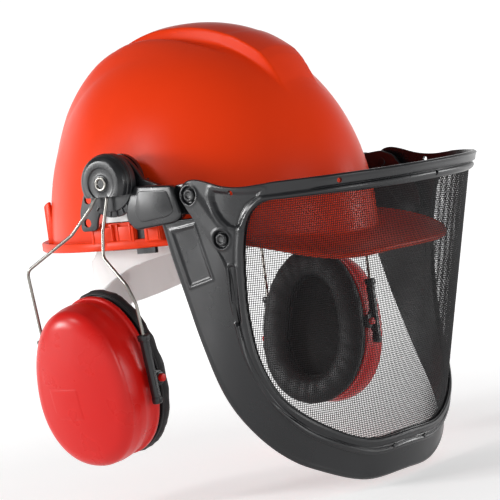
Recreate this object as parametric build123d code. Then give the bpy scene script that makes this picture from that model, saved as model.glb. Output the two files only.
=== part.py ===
from build123d import *
from math import atan2, cos, degrees, pi, radians, sin, tan
import os

os.makedirs("parts", exist_ok=True)

# Forestry safety helmet: shell with textile-cradle harness, two ear muffs on wire yokes and a
# mesh visor with a chin guard.  Millimetres, +Z up, -Y is the wearer's front and -X the wearer's
# right.  The rim plane of the shell is z = 0 and the origin is the centre of the headband in it.
# "dist" always means the distance |x| from the middle plane of the head.

# --- shell ---
SHELL_HALF_W = 104.0
SHELL_FRONT = 134.0          # length of the front half, from the widest station
SHELL_REAR = 114.0
WIDEST_Y = 10.0              # the shell is widest here, behind the head's centre
SHELL_H = 145.0
SHELL_T = 3.0
DOME_POWER = 2.12            # 2 is an ellipse, more is squarer
RIM_OUT = 8.0                # rain gutter around the sides and back
RIM_H = 6.5
RIM_WALL = 2.2
PEAK_HALF_W = 95.0
PEAK_ROOT_Y = -40.0
PEAK_LEN = 118.0
PEAK_DROP = 24.0
PEAK_POWER = 4.5             # squarish plan of the peak
PEAK_T = 3.0
CREST_HALF_W = 21.0
CREST_FRONT = -86.0
CREST_REAR = 62.0
RIDGE_IN = 30.0              # the two rear side ridges run between these distances
RIDGE_OUT = 40.0
POCKET_Y = (-39.0, 23.0)     # accessory pocket on each side
POCKET_Z = (3.0, 19.0)
POCKET_DIST = 110.3
PAD_DIST = 111.6             # raised pads on the pocket's face
SLOT_Y = (-30.0, 8.0)
SLOT_DIST = (104.4, 108.6)

# --- knob axis and the stack of parts on it, by distance ---
KNOB_Y = -7.0
KNOB_Z = 47.0
BLADE_DIST = (105.0, 108.0)
BOSS_R = 8.0
BOSS_TIP_R = 5.0             # the boss is thinner inside the cap, above the yoke's cross bar
ARM_HUB_DIST = (108.8, 113.4)
ARM_HUB_R = 18.5
BRACKET_DIST = (113.8, 116.0)
FAN_DIST = (116.0, 121.0)
FAN_R = 24.0
DISC_R = 17.5
CAP_DIST = (121.5, 130.0)
CAP_R = 17.0
CAP_FLAT = 9.0               # the cap is cut flat this far under the axis
RIVET_R = 4.9
RUN_GAP = 0.05               # radial clearance of running fits

# --- visor: a wall of U plan, extruded along a direction that leans back at the chin ---
VISOR_HALF_W = 118.0
VISOR_TOP = 37.0
VISOR_ARM_END = -100.7       # the straight sides end here, at the height of the top edge
VISOR_BOW = 90.6
VISOR_POWER = 2.2
VISOR_LEAN = 14.3            # degrees
VISOR_BACK = 140.0           # the side walls are made this long before they are cut
FRAME_LAYER = (1.0, 3.6)     # layers as distances outside the U
GUARD_LAYER = (-1.6, 0.8)
MESH_LAYER = (0.15, 0.75)
RETAINER_LAYER = (-1.5, 0.0)
TONGUE_DIST = (111.8, 114.8)
BLOCK_DIST = (112.6, 120.8)
PIN_R = 3.0
PIN_HEAD_R = 4.4
SIDE_PINS = ((-74.7, 33.5), (-97.0, 2.5))
CHIN_PIN_X = 19.0
CHIN_PIN_Z = -155.0

# --- ear muffs ---
WIRE_R = 1.4
BAR_DIST = 124.0             # cross bar of the yoke, inside the knob cap
BAR_Z = 39.0
LEG_FRONT_Y = -7.0
LEG_REAR_Y = 3.0
STEM_LEAN = 8.0              # degrees, the yoke's stems close in towards the jaw
STEM_TOP = (136.0, -22.0)    # distance and z where the front stem starts
STEM_FRONT_Y = -28.6
STEM_REAR_Y = 61.6
STEM_REAR_TOP_Z = -8.0
STEM_END_Z = -92.0
HOLDER_TOP_Z = -57.0
HOLDER_LEN = 48.5
HOLDER_R = 3.1
STUB_DIST = 118.5
STUB_Z = -88.0
STUB_R = 2.8
CUP_Y = 16.5
CUP_DIST = 119.0
CUP_Z = -85.0
CUP_TILT = 10.5              # degrees, the cup's face looks down and out
CUP_HALF_H = 57.5
CUP_HALF_W = 41.5
CUP_DEPTH = 37.0
CUP_ROUND = 17.0
CUP_WALL = 2.6
CUSHION_T = 11.0
LEFT_SWING = -5.0            # the left muff lies swung forward by this much
LEFT_YAW = 7.0               # and its springy wires are twisted by this much

# --- harness ---
BAND_HALF_W = 80.0
BAND_HALF_L = 98.0
BAND_T = 1.8
STRAP_W = 20.0
STRAP_T = 1.2
STRAP_FOOT_Z = 25.5          # the straps start just above the headband's edge
CRADLE_H = 112.0

FAR = 260.0                  # longer than anything, for cutting prisms


# ---------- shared shapes ----------

def save(node, shape):
    """Write one node, as a plain part or as a group of separate solids."""
    solids = shape.solids()
    export_step(solids[0] if len(solids) == 1 else Compound(children=solids), f"parts/{node}.step")
    return shape


def prism_x(outline, dist_from=-FAR, dist_to=FAR):
    """Extrude a closed wire given in (y, z) along X."""
    face = Plane.YZ.offset(dist_from) * make_face(outline)
    return extrude(face, dist_to - dist_from, dir=(1, 0, 0))


def ring_yz(centre, radius, dist_from, dist_to):
    """A cylinder along X on the wearer's right, between two distances."""
    length = dist_to - dist_from
    middle = -(dist_from + dist_to) / 2
    return Pos(middle, *centre) * Rot(0, 90, 0) * Cylinder(radius, length)


def box_between(low, high):
    size = [b - a for a, b in zip(low, high)]
    middle = [(a + b) / 2 for a, b in zip(low, high)]
    return Pos(*middle) * Box(*size)


def plate_right(outline, dist):
    """A flat plate on the wearer's right from a (y, z) outline and a pair of distances."""
    return prism_x(outline, -dist[1], -dist[0])


def mirrored(shape):
    return mirror(shape, about=Plane.YZ)


def super_point(angle, half_a, half_b, power):
    """A point of a superellipse, half_a along the first axis and half_b along the second."""
    c = round(cos(angle), 9)
    s = round(sin(angle), 9)
    a = half_a * abs(c) ** (2 / power) * (1 if c >= 0 else -1)
    b = half_b * abs(s) ** (2 / power) * (1 if s >= 0 else -1)
    return a, b


def bow_plan(half_w, length, power, root_y, back_y):
    """Plan of a superellipse bow in front of root_y, closed by straight sides at the back."""
    steps = 8
    points = []
    for i in range(steps + 1):
        x, y = super_point(pi / 2 * (i / steps) ** 1.25, half_w, length, power)
        points.append((x, root_y - y))
    left = Spline(*points, tangents=[(0, -1), (-1, 0)])
    right = mirrored(left)
    back = Polyline(points[0], (half_w, back_y), (-half_w, back_y), (-points[0][0], points[0][1]))
    return make_face([left, right, back])


def egg_plan(out, height=0.0, share=1.0):
    """Plan of the shell at the rim, moved outwards and shrunk to a share of its size."""
    half_w = (SHELL_HALF_W + out) * share
    centre = (0, WIDEST_Y)
    front_len = (SHELL_FRONT + out) * share
    rear_len = (SHELL_REAR + out) * share
    front = EllipticalCenterArc(centre, half_w, front_len, start_angle=180, arc_size=180)
    rear = EllipticalCenterArc(centre, half_w, rear_len, start_angle=0, arc_size=180)
    return Pos(0, 0, height) * make_face([front, rear])


def raise_up(face, height):
    """Extrude a level face along Z, downwards if the height is negative."""
    return extrude(face, abs(height), dir=(0, 0, 1 if height > 0 else -1))


# ---------- shell ----------

def dome(inset):
    """The closed dome, lofted through level sections that follow a superellipse in height."""
    height = SHELL_H - inset
    sections = []
    for rise in (0, 0.25, 0.5, 0.72, 0.88, 0.965):
        share = (1 - rise ** DOME_POWER) ** (1 / DOME_POWER)
        sections.append(egg_plan(-inset, height * rise, share))
    return loft(sections + [Vertex(0, WIDEST_Y, height)])


def peak_height(y):
    """Height of the peak's upper face; it droops more and more towards its tip."""
    reach = max(PEAK_ROOT_Y - y, 0) / PEAK_LEN
    return PEAK_T - PEAK_DROP * reach ** 2.1


def peak_section(lift):
    """Curve of the peak in side view as (y, z) points, from the middle of the head to the tip."""
    stations = [PEAK_ROOT_Y, -70, -100, -130, -175]
    points = [(y, peak_height(y) + lift) for y in stations]
    return Spline(*points, tangents=[(-1, 0), (-1, -0.45)])


def peak_plate():
    """The sheet of the peak, cut to its plan."""
    top = peak_section(0)
    under = peak_section(-PEAK_T)
    tip = Line(top @ 1, under @ 1)
    root = Line(under @ 0, top @ 0)
    sheet = prism_x([top, tip, under, root])
    plan = bow_plan(PEAK_HALF_W, PEAK_LEN, PEAK_POWER, PEAK_ROOT_Y, PEAK_ROOT_Y + 10)
    return sheet & raise_up(Pos(0, 0, -60) * plan, 120)


def peak_skirt():
    """The front wall of the dome, carried down to the drooping peak."""
    wall = raise_up(egg_plan(0) - egg_plan(-SHELL_T), -40)
    top = peak_section(-PEAK_T / 2)
    corner_a = Line(top @ 1, (-175, 1))
    corner_b = Line((-175, 1), ((top @ 0).X, 1))
    corner_c = Line(((top @ 0).X, 1), top @ 0)
    above = prism_x([top, corner_a, corner_b, corner_c])
    return wall & above


def rim_gutter():
    outer = raise_up(egg_plan(RIM_OUT) - egg_plan(-SHELL_T / 2), RIM_H)
    groove = raise_up(egg_plan(RIM_OUT - RIM_WALL) - egg_plan(0), RIM_H)
    sides_and_back = box_between((-FAR, PEAK_ROOT_Y, -1), (FAR, FAR, 20))
    return (outer - Pos(0, 0, RIM_WALL) * groove) & sides_and_back


def crest():
    """Broad crest over the crown and the two short ridges beside it at the back."""
    crest_line = Spline((CREST_FRONT, 96), (-60, 128.5), (-15, 149.5), (WIDEST_Y, SHELL_H + 4),
                        (CREST_REAR, 130))
    broad = prism_x([crest_line, Line(crest_line @ 1, crest_line @ 0)], -CREST_HALF_W, CREST_HALF_W)
    ridge_line = Spline((8, 141), (40, 136), (70, 117), (92, 92))
    outline = [ridge_line, Line(ridge_line @ 1, ridge_line @ 0)]
    ridge = prism_x(outline, -RIDGE_OUT, -RIDGE_IN)
    return broad + ridge + mirrored(ridge)


def side_pocket():
    low = (-POCKET_DIST, POCKET_Y[0], POCKET_Z[0])
    high = (-SHELL_HALF_W + 8, POCKET_Y[1], POCKET_Z[1])
    body = box_between(low, high)
    body += box_between((-PAD_DIST, -16, POCKET_Z[0]), (-POCKET_DIST, POCKET_Y[1], POCKET_Z[1] - 1))
    body += box_between((-PAD_DIST, POCKET_Y[0], POCKET_Z[0]), (-POCKET_DIST, -24, POCKET_Z[1] - 1))
    return body


def shell():
    body = dome(0) + rim_gutter() + peak_plate() + peak_skirt() + crest()
    body += side_pocket() + mirrored(side_pocket())
    slot = box_between((-SLOT_DIST[1], SLOT_Y[0], -5), (-SLOT_DIST[0], SLOT_Y[1], POCKET_Z[1] + 5))
    body -= dome(SHELL_T)
    body -= raise_up(egg_plan(-SHELL_T), -50)
    body -= slot + mirrored(slot)
    tab = box_between((-71, 92, 2), (-67, 99, 36))
    return body + tab + mirrored(tab)


# ---------- harness ----------

def oval_wall(half_w, half_l, thickness, z_from, z_to):
    outer = Ellipse(half_w + thickness / 2, half_l + thickness / 2)
    inner = Ellipse(half_w - thickness / 2, half_l - thickness / 2)
    return raise_up(Pos(0, 0, z_from) * (outer - inner), z_to - z_from)


def band_outline(margin=0.0):
    """Side view of the headband: level in front, drooping to the nape at the back."""
    top = Spline((-120, 22 - margin), (-20, 20 - margin), (45, 2 - margin), (98, -24 - margin),
                 (120, -30 - margin))
    under = Spline((120, -56 + margin), (98, -51 + margin), (45, -26 + margin),
                   (-20, -7 + margin), (-120, -5 + margin))
    return [top, Line(top @ 1, under @ 0), under, Line(under @ 1, top @ 0)]


def headband():
    wall = oval_wall(BAND_HALF_W, BAND_HALF_L, BAND_T, -60, 40)
    return wall & prism_x(band_outline())


def sweatband():
    """Soft pad lining the front half of the headband."""
    thickness = 3.4
    inset = BAND_T / 2 + thickness / 2 + 0.2
    wall = oval_wall(BAND_HALF_W - inset, BAND_HALF_L - inset, thickness, -60, 40)
    front_half = box_between((-FAR, -FAR, -60), (FAR, -22, 60))
    return wall & prism_x(band_outline(1.5)) & front_half


def nape_slider():
    """Buckle that locks the two ends of the nape strap together."""
    outset = BAND_T / 2 + 1.5
    wall = oval_wall(BAND_HALF_W + outset, BAND_HALF_L + outset, 2.2, -54, -21)
    return wall & box_between((-17, 60, -60), (17, FAR, 0))


def cradle_strap(angle, height):
    """One textile strap over the head, from one side of the headband to the other."""
    across = cos(radians(angle)) / BAND_HALF_W
    along = sin(radians(angle)) / BAND_HALF_L
    span = (across ** 2 + along ** 2) ** -0.5 + BAND_T / 2 + 0.4 + STRAP_T
    arch = Ellipse(span, height) - Ellipse(span - STRAP_T, height - STRAP_T)
    above = box_between((-FAR, -FAR, STRAP_FOOT_Z), (FAR, FAR, FAR))
    strap = extrude(Plane.XZ * arch, STRAP_W / 2, both=True) & above
    return Rot(0, 0, angle) * strap


def harness_anchors():
    """Four keys that plug the harness into the inside of the shell."""
    keys = Part()
    for y, angle in ((-46, 20), (56, -22)):
        key = Pos(-88.3, y, -2) * Rot(0, 0, angle) * Box(5, 16, 16)
        keys += key + mirrored(key)
    return keys


# ---------- adapters and knobs, made for the wearer's right ----------

def adapter_base():
    """Blade in the shell's slot, with the round seat and the boss that carries the knob."""
    y0 = SLOT_Y[0] + 0.4
    y1 = SLOT_Y[1] - 0.4
    blade = box_between((-BLADE_DIST[1], y0, -0.5), (-BLADE_DIST[0], y1, KNOB_Z))
    catch = box_between((-BLADE_DIST[1], y0, -4), (-BLADE_DIST[0], y0 + 16, 0))
    seat = ring_yz((KNOB_Y, KNOB_Z), ARM_HUB_R, *BLADE_DIST)
    boss = ring_yz((KNOB_Y, KNOB_Z), BOSS_R, BLADE_DIST[1], FAN_DIST[1])
    boss += ring_yz((KNOB_Y, KNOB_Z), BOSS_TIP_R, FAN_DIST[1], CAP_DIST[1] - 1.5)
    boss += ring_yz((KNOB_Y, KNOB_Z), BOSS_R + 3, BLADE_DIST[1], ARM_HUB_DIST[0] - 0.4)
    bore = ring_yz((KNOB_Y, KNOB_Z), 3.0, BLADE_DIST[0], CAP_DIST[1])
    return blade + catch + seat + boss - bore


def slot_insert():
    """Pale wedge that packs the blade in its slot, seen just under the fan."""
    return box_between((-BLADE_DIST[0] - 6.2, SLOT_Y[0] + 12, POCKET_Z[1] + 0.3),
                       (-BLADE_DIST[1] - 0.2, SLOT_Y[1], POCKET_Z[1] + 6))


def strap_bracket():
    """Flat plate behind the knob with two holes for a chin strap or neck cape."""
    outline = Polyline((KNOB_Y - 4, 58), (KNOB_Y - 4, 34), (8, 28), (12, 22), (13, 14.5), (27, 14.5),
                       (26.5, 28), (21, 41), (10, 46), (2, 58), close=True)
    plate = plate_right(outline, BRACKET_DIST)
    plate += ring_yz((KNOB_Y, KNOB_Z), DISC_R - 1, *BRACKET_DIST)
    plate -= ring_yz((KNOB_Y, KNOB_Z), BOSS_R + 0.02, *BRACKET_DIST)
    for y, z in ((18.0, 36.5), (20.5, 20.5)):
        plate -= ring_yz((y, z), 3.1, *BRACKET_DIST)
    return plate


def detent_fan():
    """Disc with a ribbed fan below it; the yoke's legs click over the ribs."""
    disc = ring_yz((KNOB_Y, KNOB_Z), DISC_R, *FAN_DIST)
    inner = FAN_DIST[0] + 0.6
    outer = FAN_DIST[1] - 1.2
    sector = ring_yz((KNOB_Y, KNOB_Z), FAN_R, inner, outer)
    keep = Polyline((KNOB_Y, KNOB_Z), (KNOB_Y - 40, KNOB_Z - 40), (KNOB_Y + 40, KNOB_Z - 40), close=True)
    sector &= plate_right(keep, (inner, outer))
    fan = disc + sector
    for i in range(5):
        angle = 232 + 19 * i
        rib = Pos(-outer - 0.2, KNOB_Y, KNOB_Z) * Rot(angle, 0, 0) * Pos(0, FAN_R / 2 + 6, 0)
        fan += rib * Box(0.9, FAN_R - 13, 1.4)
    return fan - ring_yz((KNOB_Y, KNOB_Z), BOSS_R + 0.02, *FAN_DIST)


def knob_cap():
    """Turning cap that holds the yoke's cross bar; its rim is rounded and its foot is flat."""
    cap = ring_yz((KNOB_Y, KNOB_Z), CAP_R, *CAP_DIST)
    cap = fillet(cap.edges().filter_by(GeomType.CIRCLE).sort_by(Axis.X)[:1], 3.0)
    foot = box_between((-FAR, -FAR, -FAR), (0, FAR, KNOB_Z - CAP_FLAT))
    cap -= foot
    cap -= ring_yz((KNOB_Y, KNOB_Z), 11.0, CAP_DIST[1] - 0.8, CAP_DIST[1])
    cap -= ring_yz((KNOB_Y, KNOB_Z), BOSS_TIP_R + RUN_GAP, CAP_DIST[0], CAP_DIST[1] - 1.4)
    cap -= ring_yz((KNOB_Y, KNOB_Z), 3.0 + RUN_GAP, CAP_DIST[0], CAP_DIST[1])
    bar_from = LEG_FRONT_Y - 3.6
    bar_to = LEG_REAR_Y + 3.6
    bar_place = Pos(-BAR_DIST, (bar_from + bar_to) / 2, BAR_Z) * Rot(90, 0, 0)
    bar_bore = bar_place * Cylinder(WIRE_R + RUN_GAP, bar_to - bar_from)
    mouth_low = (-BAR_DIST - 3.6, bar_from, KNOB_Z - CAP_FLAT)
    mouth = box_between(mouth_low, (-BAR_DIST + 1.5, bar_to, BAR_Z))
    swing_room = box_between(mouth_low, (-BAR_DIST, bar_to, BAR_Z + 0.9))
    return cap - bar_bore - mouth - swing_room


def hub_rivet():
    head = ring_yz((KNOB_Y, KNOB_Z), RIVET_R, CAP_DIST[1] - 0.7, CAP_DIST[1] + 0.6)
    shank = ring_yz((KNOB_Y, KNOB_Z), 2.95, BLADE_DIST[0] + 0.2, CAP_DIST[1] - 0.7)
    return head + shank - ring_yz((KNOB_Y, KNOB_Z), 2.0, CAP_DIST[1] - 2, CAP_DIST[1] + 1)


# ---------- visor ----------

def u_plan(out, low):
    """Plan of everything inside the visor at one height, open end at the back."""
    arm_end = VISOR_ARM_END + (VISOR_TOP - low) * tan(radians(VISOR_LEAN))
    return bow_plan(VISOR_HALF_W + out, VISOR_BOW + out, VISOR_POWER, arm_end, VISOR_BACK)


def u_wall(out_from, out_to):
    """Leaning wall of U plan between two distances outside the visor's reference surface."""
    low = -190.0
    high = 60.0
    face = Pos(0, 0, low) * (u_plan(out_to, low) - u_plan(out_from, low))
    lean = radians(VISOR_LEAN)
    return extrude(face, (high - low) / cos(lean), dir=(0, -sin(lean), cos(lean)))


def outline_from(curve, front=-230.0):
    """Close a (y, z) curve that starts and ends in front of the visor."""
    start = curve @ 0
    end = curve @ 1
    a = Line(end, (front, end.Y))
    b = Line((front, end.Y), (front, start.Y))
    c = Line((front, start.Y), start)
    return [curve, a, b, c]


def window_outline(grow=0.0):
    """Side view of the mesh window; grow makes it larger all round."""
    points = [(-165, 24), (-146, 25.5), (-128, 24), (-117.5, 15), (-111.5, -3), (-108, -27), (-106.5, -52),
              (-108.5, -82), (-117, -109), (-131, -131), (-146, -146), (-165, -160)]
    # every point moves outwards from a line through the middle of the window
    moved = []
    for y, z in points:
        reach = ((y + 165) ** 2 + ((z + 66) * 0.6) ** 2) ** 0.5
        moved.append((y + grow * (y + 165) / reach, z + grow * (z + 66) * 0.6 / reach))
    return outline_from(Spline(*moved))


def frame_outline():
    """Side view of the visor frame, with the lobe that carries the upper pin."""
    top = Spline((-170, 37), (-140, 37), (-116, 37), (-98, 40.5), (-80, 44), (-68, 40), (-66, 30), (-74, 15),
                 (-84, 0), (-92, -14), (-95, -30), (-96, -50), (-98, -72), (-104, -96), (-113, -119),
                 (-125, -139), (-138, -154), (-160, -172))
    return outline_from(top)


def visor_frame():
    frame = u_wall(*FRAME_LAYER) & prism_x(frame_outline())
    frame -= prism_x(window_outline())
    for hollow in sunk_shapes():
        frame -= u_wall(FRAME_LAYER[1] - 0.9, FRAME_LAYER[1] + 1) & hollow
    frame -= pin_holes(PIN_HEAD_R + 0.05, 1.9, 8)
    frame -= pin_holes(PIN_R + 0.02, -8, 8)
    return frame - chin_pin_holes(1.6)


def sunk_shapes():
    """Sunk triangular panel of each side plate and the long slot below it."""
    panel = Polyline((-84, 39), (-112, 36), (-117, 27), (-109, 10), (-103, 6), (-97, 11), (-92, 9),
                     (-82, 26), close=True)
    slot = Polyline((-99, -14), (-102.5, -14), (-103, -58), (-99.5, -58), close=True)
    return prism_x(panel), prism_x(slot)


def pin_holes(radius, out_from, out_to):
    """Holes along X on both sides for the pins of the side plates."""
    holes = Part()
    for centre in SIDE_PINS:
        hole = ring_yz(centre, radius, VISOR_HALF_W + out_from, VISOR_HALF_W + out_to)
        holes += hole + mirrored(hole)
    return holes


def chin_pin_place():
    """Where the two chin pins sit on the reference surface, and which way they point."""
    step = (CHIN_PIN_X / VISOR_HALF_W) ** VISOR_POWER
    bow = VISOR_BOW * (1 - step) ** (1 / VISOR_POWER)
    y = VISOR_ARM_END - bow + (VISOR_TOP - CHIN_PIN_Z) * tan(radians(VISOR_LEAN))
    slope = degrees(atan2(CHIN_PIN_X * VISOR_BOW ** 2, bow * VISOR_HALF_W ** 2))
    return y, slope


def chin_pin(radius, out_from, out_to):
    y, slope = chin_pin_place()
    rod = Pos(0, 0, (out_from + out_to) / 2) * Cylinder(radius, out_to - out_from)
    return Pos(CHIN_PIN_X, y, CHIN_PIN_Z) * Rot(0, 0, slope) * Rot(90, 0, 0) * rod


def chin_pin_holes(radius):
    hole = chin_pin(radius, -10, 12)
    return hole + mirrored(hole)


def chin_guard():
    outer = Spline((-48.7, 17.5), (-55, -6), (-63, -35), (-71.5, -67), (-84, -103), (-97, -127.5),
                   (-110.5, -147), (-122, -160), (-133.5, -171.5), (-150, -186))
    inner = Spline((-150, -158), (-141, -150.5), (-126, -134), (-113, -112), (-104.5, -88), (-101, -60),
                   (-101.5, -30), (-104, -8), (-104, 14))
    top = Line(inner @ 1, outer @ 0)
    tip = Line(outer @ 1, inner @ 0)
    outline = [outer, tip, inner, top]
    guard = u_wall(*GUARD_LAYER) & prism_x(outline)
    guard -= pin_holes(PIN_R + 0.02, -8, 8)
    return guard - chin_pin_holes(1.6)


def mesh_screen():
    return u_wall(*MESH_LAYER) & prism_x(window_outline(3.5))


def retaining_frame():
    sheet = u_wall(*RETAINER_LAYER) & prism_x(window_outline(4.5))
    return sheet - prism_x(window_outline())


def snap_pins():
    """Four headed pins that join frame, guard and arms."""
    pins = Part()
    inner = TONGUE_DIST[0] - 0.8
    for centre in SIDE_PINS:
        pin = ring_yz(centre, PIN_R, inner, VISOR_HALF_W + 2.0)
        pin += ring_yz(centre, PIN_HEAD_R, VISOR_HALF_W + 1.95, VISOR_HALF_W + 3.4)
        pins += pin + mirrored(pin)
    return pins


def chin_pins():
    pin = chin_pin(1.55, -2.4, 4.2)
    return pin + mirrored(pin)


def visor_arm():
    """Hub ring on the knob's axis, a hollow block in front of it and a flat tongue for the pins."""
    hub = ring_yz((KNOB_Y, KNOB_Z), ARM_HUB_R, *ARM_HUB_DIST)
    neck = plate_right(Polyline((KNOB_Y, KNOB_Z + 18.4), (-20, 60), (-30, 47), (-40, 42), (-40, 21),
                                (KNOB_Y - 13, 34), close=True), ARM_HUB_DIST)
    outline = Polyline((-27, 43), (-60, 41.5), (-66, 20), (-60, 15.5), (-24, 12.8), (-17.5, 20), (-18.5, 30),
                       close=True)
    block = plate_right(outline, BLOCK_DIST)
    block -= ring_yz((KNOB_Y, KNOB_Z), DISC_R + 0.8, BRACKET_DIST[0] - 0.3, FAR)
    block -= ring_yz((KNOB_Y, KNOB_Z), FAN_R + 0.8, FAN_DIST[0] - 0.2, FAR)
    hollow = Polyline((-32, 39), (-56, 38), (-62, 24), (-34, 18), close=True)
    block -= plate_right(hollow, (BLOCK_DIST[0] - 1, BLOCK_DIST[1] - 2.4))
    # the corner of the chin guard passes behind the lower front of the block
    block -= box_between((-BLOCK_DIST[1] + 1.4, -FAR, 0), (-BLOCK_DIST[0] + 1, -45, 20))
    outline = Polyline((-50, 40), (-74, 42), (-86, 38), (-104, 12), (-105, -2), (-98, -6), (-90, -4),
                       (-72, 20), (-50, 22), close=True)
    tongue = plate_right(outline, TONGUE_DIST)
    arm = hub + neck + block + tongue
    arm -= ring_yz((KNOB_Y, KNOB_Z), BOSS_R + RUN_GAP, *ARM_HUB_DIST)
    for centre in SIDE_PINS:
        arm -= ring_yz(centre, PIN_R + 0.02, TONGUE_DIST[0] - 1, TONGUE_DIST[1] + 1)
    return arm


# ---------- ear muffs, made for the wearer's right ----------

def stem_dist(z):
    """Distance of the yoke's straight stems at a height."""
    return STEM_TOP[0] - (STEM_TOP[1] - z) * tan(radians(STEM_LEAN))


def leg_points(front):
    """Corners of one leg of the yoke from the cross bar down to its end, as (x, y, z)."""
    if front:
        points = [(BAR_DIST, LEG_FRONT_Y, BAR_Z), (127.5, LEG_FRONT_Y + 5, 15), (130.5, LEG_FRONT_Y + 5, -3),
                  (stem_dist(-22), STEM_FRONT_Y + 5, -22), (stem_dist(-36), STEM_FRONT_Y, -36),
                  (stem_dist(STEM_END_Z), STEM_FRONT_Y, STEM_END_Z)]
    else:
        points = [(BAR_DIST, LEG_REAR_Y, BAR_Z), (127.0, LEG_REAR_Y + 4, 31), (130.0, 24, 14),
                  (stem_dist(STEM_REAR_TOP_Z), STEM_REAR_Y, STEM_REAR_TOP_Z),
                  (stem_dist(STEM_END_Z), STEM_REAR_Y, STEM_END_Z)]
    return [(-dist, y, z) for dist, y, z in points]


def yoke_wire(bend_point):
    """The spring wire: rear leg, cross bar and front leg in one bent piece."""
    rear = [bend_point(p, i) for i, p in enumerate(leg_points(False))]
    front = [bend_point(p, i) for i, p in enumerate(leg_points(True))]
    route = list(reversed(rear)) + front
    radii = []
    for a, b, c in zip(route, route[1:], route[2:]):
        shortest = min((Vector(b) - Vector(a)).length, (Vector(c) - Vector(b)).length)
        radii.append(min(7.0, 0.35 * shortest))
    path = FilletPolyline(*route, radius=radii)
    section = Plane(origin=path @ 0, z_dir=path % 0) * Circle(WIRE_R)
    return sweep(section, path=path)


def holder(y, ear_side):
    """Tube that slides on a stem, with the ear that takes the cup's stub."""
    lean = radians(STEM_LEAN)
    axis_dir = Vector(sin(lean), 0, -cos(lean))
    top = Vector(-stem_dist(HOLDER_TOP_Z), y, HOLDER_TOP_Z)
    place = Plane(origin=top, x_dir=(0, 1, 0), z_dir=axis_dir)
    tube = place * Pos(0, 0, HOLDER_LEN / 2) * Cylinder(HOLDER_R, HOLDER_LEN)
    collar = place * Pos(0, 0, 2.0) * Cylinder(HOLDER_R + 0.8, 4.0)
    bore = place * Pos(0, 0, (HOLDER_LEN - 2) / 2) * Cylinder(WIRE_R + RUN_GAP, HOLDER_LEN - 2)
    ear_y = y + ear_side * 1.4
    outline = Polyline((-stem_dist(-80), -80), (-STUB_DIST + 1, -83), (-STUB_DIST + 5, -88),
                       (-STUB_DIST + 1, -93), (-stem_dist(-97), -97), close=True)
    ear = extrude(Plane.XZ.offset(-ear_y) * make_face(outline), 1.2, both=True)
    hole = Pos(-STUB_DIST, ear_y, STUB_Z) * Rot(90, 0, 0) * Cylinder(STUB_R + RUN_GAP, 8)
    return tube + collar + ear - bore - hole


def cup_plane():
    tilt = radians(CUP_TILT)
    return Plane(origin=(-CUP_DIST, CUP_Y, CUP_Z), x_dir=(0, 1, 0), z_dir=(-cos(tilt), 0, -sin(tilt)))


def cup_solid(inset):
    """Oval cup with a well rounded face."""
    body = cup_oval(inset, 0.0 if inset == 0 else -0.5, CUP_DEPTH - inset)
    return fillet(body.edges().group_by(Axis.Z)[-1], CUP_ROUND - inset)


def cup_shell():
    return cup_plane() * (cup_solid(0) - cup_solid(CUP_WALL))


def cup_oval(shrink, out_from, out_to):
    face = Ellipse(CUP_HALF_W - shrink, CUP_HALF_H - shrink)
    return raise_up(Pos(0, 0, out_from) * face, out_to - out_from)


def seat_plate():
    ring = cup_oval(2.0, -2.4, -0.3) - cup_oval(17.5, -3, 1)
    return cup_plane() * ring


def cup_foam():
    return cup_plane() * cup_oval(9.5, 1.5, 20)


def ear_cushion():
    """Oval ring cushion with rounded edges."""
    ring = cup_oval(0.8, -2.7 - CUSHION_T, -2.7) - cup_oval(20, -20, 1)
    ring = fillet(ring.edges().group_by(Axis.Z)[0], 4.0)
    return cup_plane() * ring


def cup_stubs():
    """Two short pins on the cup's front and back that turn in the holders' ears."""
    half = CUP_HALF_W + 0.05
    front = Pos(-STUB_DIST, (STEM_FRONT_Y - 3.2 + CUP_Y - half) / 2, STUB_Z)
    rear = Pos(-STUB_DIST, (STEM_REAR_Y + 3.2 + CUP_Y + half) / 2, STUB_Z)
    front_len = CUP_Y - half - (STEM_FRONT_Y - 3.2)
    rear_len = STEM_REAR_Y + 3.2 - (CUP_Y + half)
    pins = front * Rot(90, 0, 0) * Cylinder(STUB_R, front_len)
    return pins + rear * Rot(90, 0, 0) * Cylinder(STUB_R, rear_len)


# ---------- placing the left muff ----------

def swing_left(shape):
    """Turn about the knob's axis."""
    return Pos(0, KNOB_Y, KNOB_Z) * Rot(LEFT_SWING, 0, 0) * Pos(0, -KNOB_Y, -KNOB_Z) * shape


def yaw_left(shape):
    """Twist about the upright through the yoke's cross bar."""
    middle = (LEG_FRONT_Y + LEG_REAR_Y) / 2
    return Pos(BAR_DIST, middle, 0) * Rot(0, 0, LEFT_YAW) * Pos(-BAR_DIST, -middle, 0) * shape


def left_leg_point(point, index):
    """Corner of the left yoke before its swing: all but the bar's corners are twisted."""
    x, y, z = point
    if index == 0:
        return (-x, y, z)
    middle = (LEG_FRONT_Y + LEG_REAR_Y) / 2
    dx = -x - BAR_DIST
    dy = y - middle
    c = cos(radians(LEFT_YAW))
    s = sin(radians(LEFT_YAW))
    return (BAR_DIST + c * dx - s * dy, middle + s * dx + c * dy, z)


def muff_parts():
    """Every muff part on the right, with whether the twist of the left side applies."""
    return {
        "knob_cap": (knob_cap(), False),
        "holder_front": (holder(STEM_FRONT_Y, 1), True),
        "holder_rear": (holder(STEM_REAR_Y, -1), True),
        "cup_shell": (cup_shell(), True),
        "cup_stubs": (cup_stubs(), True),
        "seat_plate": (seat_plate(), True),
        "cup_foam": (cup_foam(), True),
        "ear_cushion": (ear_cushion(), True),
    }


save("shell", shell())
save("headband", headband())
save("sweatband", sweatband())
save("nape_slider", nape_slider())
save("cradle_strap_lower", cradle_strap(48, CRADLE_H))
save("cradle_strap_upper", cradle_strap(-48, CRADLE_H + STRAP_T + 2.0))
save("harness_anchors", harness_anchors())

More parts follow.
